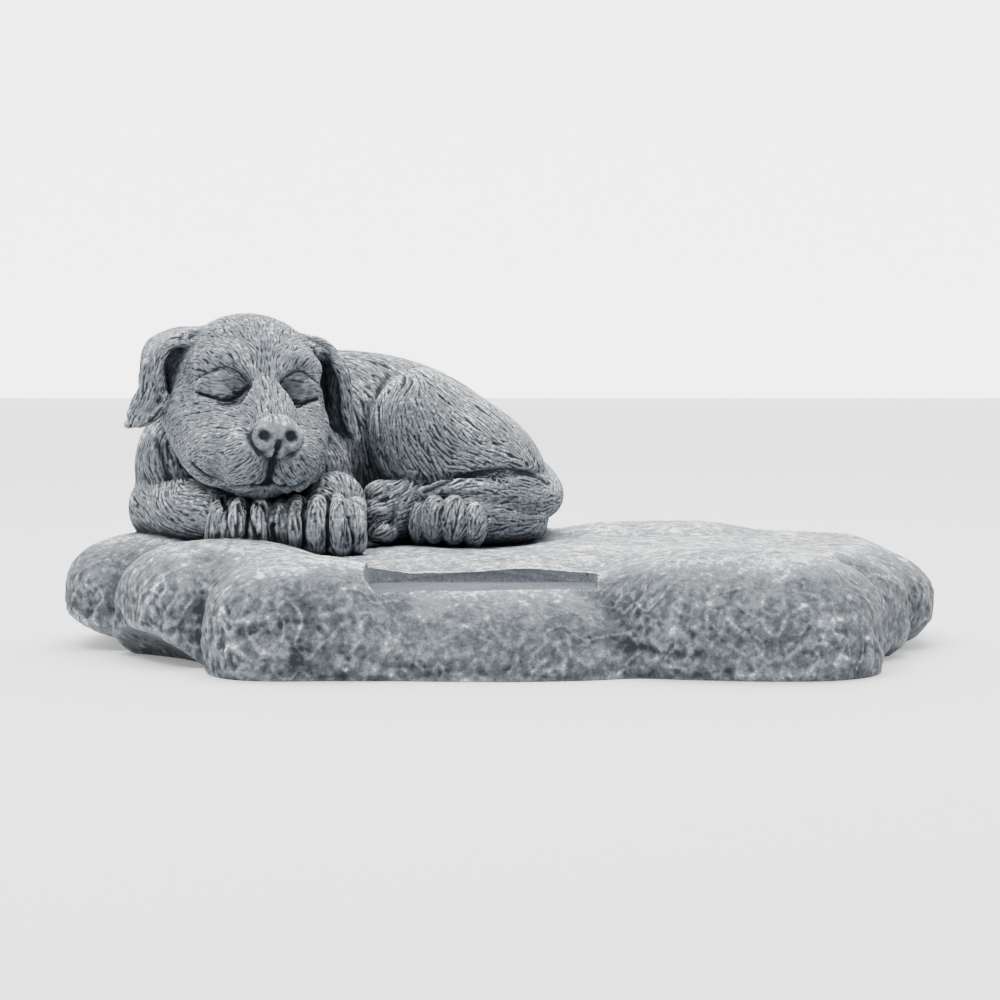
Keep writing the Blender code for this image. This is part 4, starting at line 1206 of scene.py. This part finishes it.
def addNode(tree, kind, settings, sockets, output=0):
    # any node: its settings first, then the values or links of its sockets
    node = tree.nodes.new(kind)
    for name, value in settings.items():
        if name == "stops":
            ramp = node.color_ramp
            for place, colour in value:
                stop = ramp.elements.new(place)
                stop.color = (*colour, 1)
            ramp.elements.remove(ramp.elements[0])
            ramp.elements.remove(ramp.elements[-1])
        else:
            setattr(node, name, value)
    for name, value in sockets.items():
        if isinstance(value, Wire):
            tree.links.new(value.socket, node.inputs[name])
        else:
            node.inputs[name].default_value = value
    return Wire(tree, node.outputs[output])


# colours from the hollows to the ridges, from the darkest painted shade to the palest paint and painted
# light, and the sizes of the noises in metres
paint = {
    "dark": (0.014, 0.019, 0.024), "middle": (0.095, 0.108, 0.122), "pale": (0.25, 0.275, 0.30),
    "chalk": (0.50, 0.535, 0.56), "roughness": 0.86, "bump": 0.45,
    "bumpHeight": 0.0004, "specular": 0.35,
    "cloud": 0.016, "mottle": 0.0030, "speck": 0.0009, "grain": 0.0006,
}


def resinWithPaintedLightAndShade():
    material = bpy.data.materials.new("greyResinWithPaintedLightAndShade")
    material.use_nodes = True
    tree = material.node_tree
    shader = tree.nodes["Principled BSDF"]

    def mark(name):
        return addNode(tree, "ShaderNodeAttribute", {"attribute_name": name}, {}, 2)

    def noise(size, detail, roughness=0.6):
        place = addNode(tree, "ShaderNodeTexCoord", {}, {}, 3)
        sockets = {"Vector": place, "Scale": 1 / size, "Detail": detail, "Roughness": roughness}
        return addNode(tree, "ShaderNodeTexNoise", {}, sockets)

    toneMark, stoneMark = mark("toneMark"), mark("stoneMark")
    cloud = noise(paint["cloud"], 3) - 0.5
    mottle = noise(paint["mottle"], 5, 0.72) - 0.5
    speck = noise(paint["speck"], 3, 0.7) - 0.5
    # paint that lies in specks on the stone, and much more evenly on the hair
    stoneSpecks = mottle * 0.55 + speck * 0.85 + cloud * 0.15
    furSpecks = speck * 0.50 + mottle * 0.30 + cloud * 0.35
    # the tone carries the painted shade of the hollows and cuts and the painted light of what faces up
    tone = (toneMark + furSpecks + (stoneSpecks - furSpecks) * stoneMark).clipped()
    stops = [(0.0, paint["dark"]), (0.45, paint["middle"]), (0.78, paint["pale"]), (1.0, paint["chalk"])]
    colour = addNode(tree, "ShaderNodeValToRGB", {"stops": stops}, {"Fac": tone})
    tree.links.new(colour.socket, shader.inputs["Base Color"])
    tree.links.new((paint["roughness"] - 0.10 * (1 - tone)).socket, shader.inputs["Roughness"])
    shader.inputs["Specular IOR Level"].default_value = paint["specular"]
    grain = noise(paint["grain"], 2)
    height = speck + grain + mottle * 0.6
    sockets = {"Strength": paint["bump"], "Distance": paint["bumpHeight"], "Height": height}
    bump = addNode(tree, "ShaderNodeBump", {}, sockets)
    tree.links.new(bump.socket, shader.inputs["Normal"])
    return material


# The room: a pale floor, soft light and the photograph's view

view = {"elevation": 3.7, "distance": 1.0, "target": 0.0421, "lens": 126.315, "sensor": 36.0}
backdrop = {"floor": (0.93, 0.93, 0.93), "size": 8.0, "wallAt": 2.0, "wallGlow": 3.5, "floorGlow": 0.22}
lights = [
    {"place": (-0.45, -0.50, 1.05), "size": 0.50, "energy": 13.0},
    {"place": (0.15, 0.25, 1.15), "size": 0.70, "energy": 14.0},
    {"place": (0.85, -0.70, 0.55), "size": 0.50, "energy": 2.0},
]
worldLight = 0.45


def lookAt(thing, place):
    # puts a lamp or camera at a place, turned to the middle of the statue
    thing.location = place
    aim = Vector((0, 0, view["target"])) - thing.location
    thing.rotation_euler = aim.to_track_quat("-Z", "Y").to_euler()
    bpy.context.scene.collection.objects.link(thing)


def camera():
    pitch = math.radians(view["elevation"])
    lens = bpy.data.cameras.new("photoView")
    lens.sensor_width = view["sensor"]
    lens.lens = view["lens"]
    thing = bpy.data.objects.new("photoView", lens)
    back = Vector((0, -math.cos(pitch), math.sin(pitch))) * view["distance"]
    lookAt(thing, Vector((0, 0, view["target"])) + back)
    bpy.context.scene.camera = thing


def room():
    half = backdrop["size"] / 2
    for name, glow in (("paleFloor", backdrop["floorGlow"]), ("paleWall", backdrop["wallGlow"])):
        shape = bmesh.new()
        bmesh.ops.create_grid(shape, x_segments=1, y_segments=1, size=half)
        thing = objectOf(name, shape)
        if name == "paleWall":
            thing.rotation_euler = (math.radians(90), 0, 0)
            thing.location = (0, backdrop["wallAt"], half - 0.01)
        material = bpy.data.materials.new(name)
        material.use_nodes = True
        shader = material.node_tree.nodes["Principled BSDF"]
        shader.inputs["Base Color"].default_value = (*backdrop["floor"], 1)
        shader.inputs["Roughness"].default_value = 0.9
        shader.inputs["Emission Color"].default_value = (1, 1, 1, 1)
        shader.inputs["Emission Strength"].default_value = glow
        thing.data.materials.append(material)
    for light in lights:
        lamp = bpy.data.lights.new("softLight", "AREA")
        lamp.size = light["size"]
        lamp.energy = light["energy"]
        lookAt(bpy.data.objects.new("softLight", lamp), Vector(light["place"]))
    world = bpy.data.worlds.new("paleRoom")
    bpy.context.scene.world = world
    world.use_nodes = True
    background = world.node_tree.nodes["Background"]
    background.inputs["Color"].default_value = (1, 1, 1, 1)
    background.inputs["Strength"].default_value = worldLight


memorialStatue()
camera()
room()

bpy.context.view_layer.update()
report("sizes written")
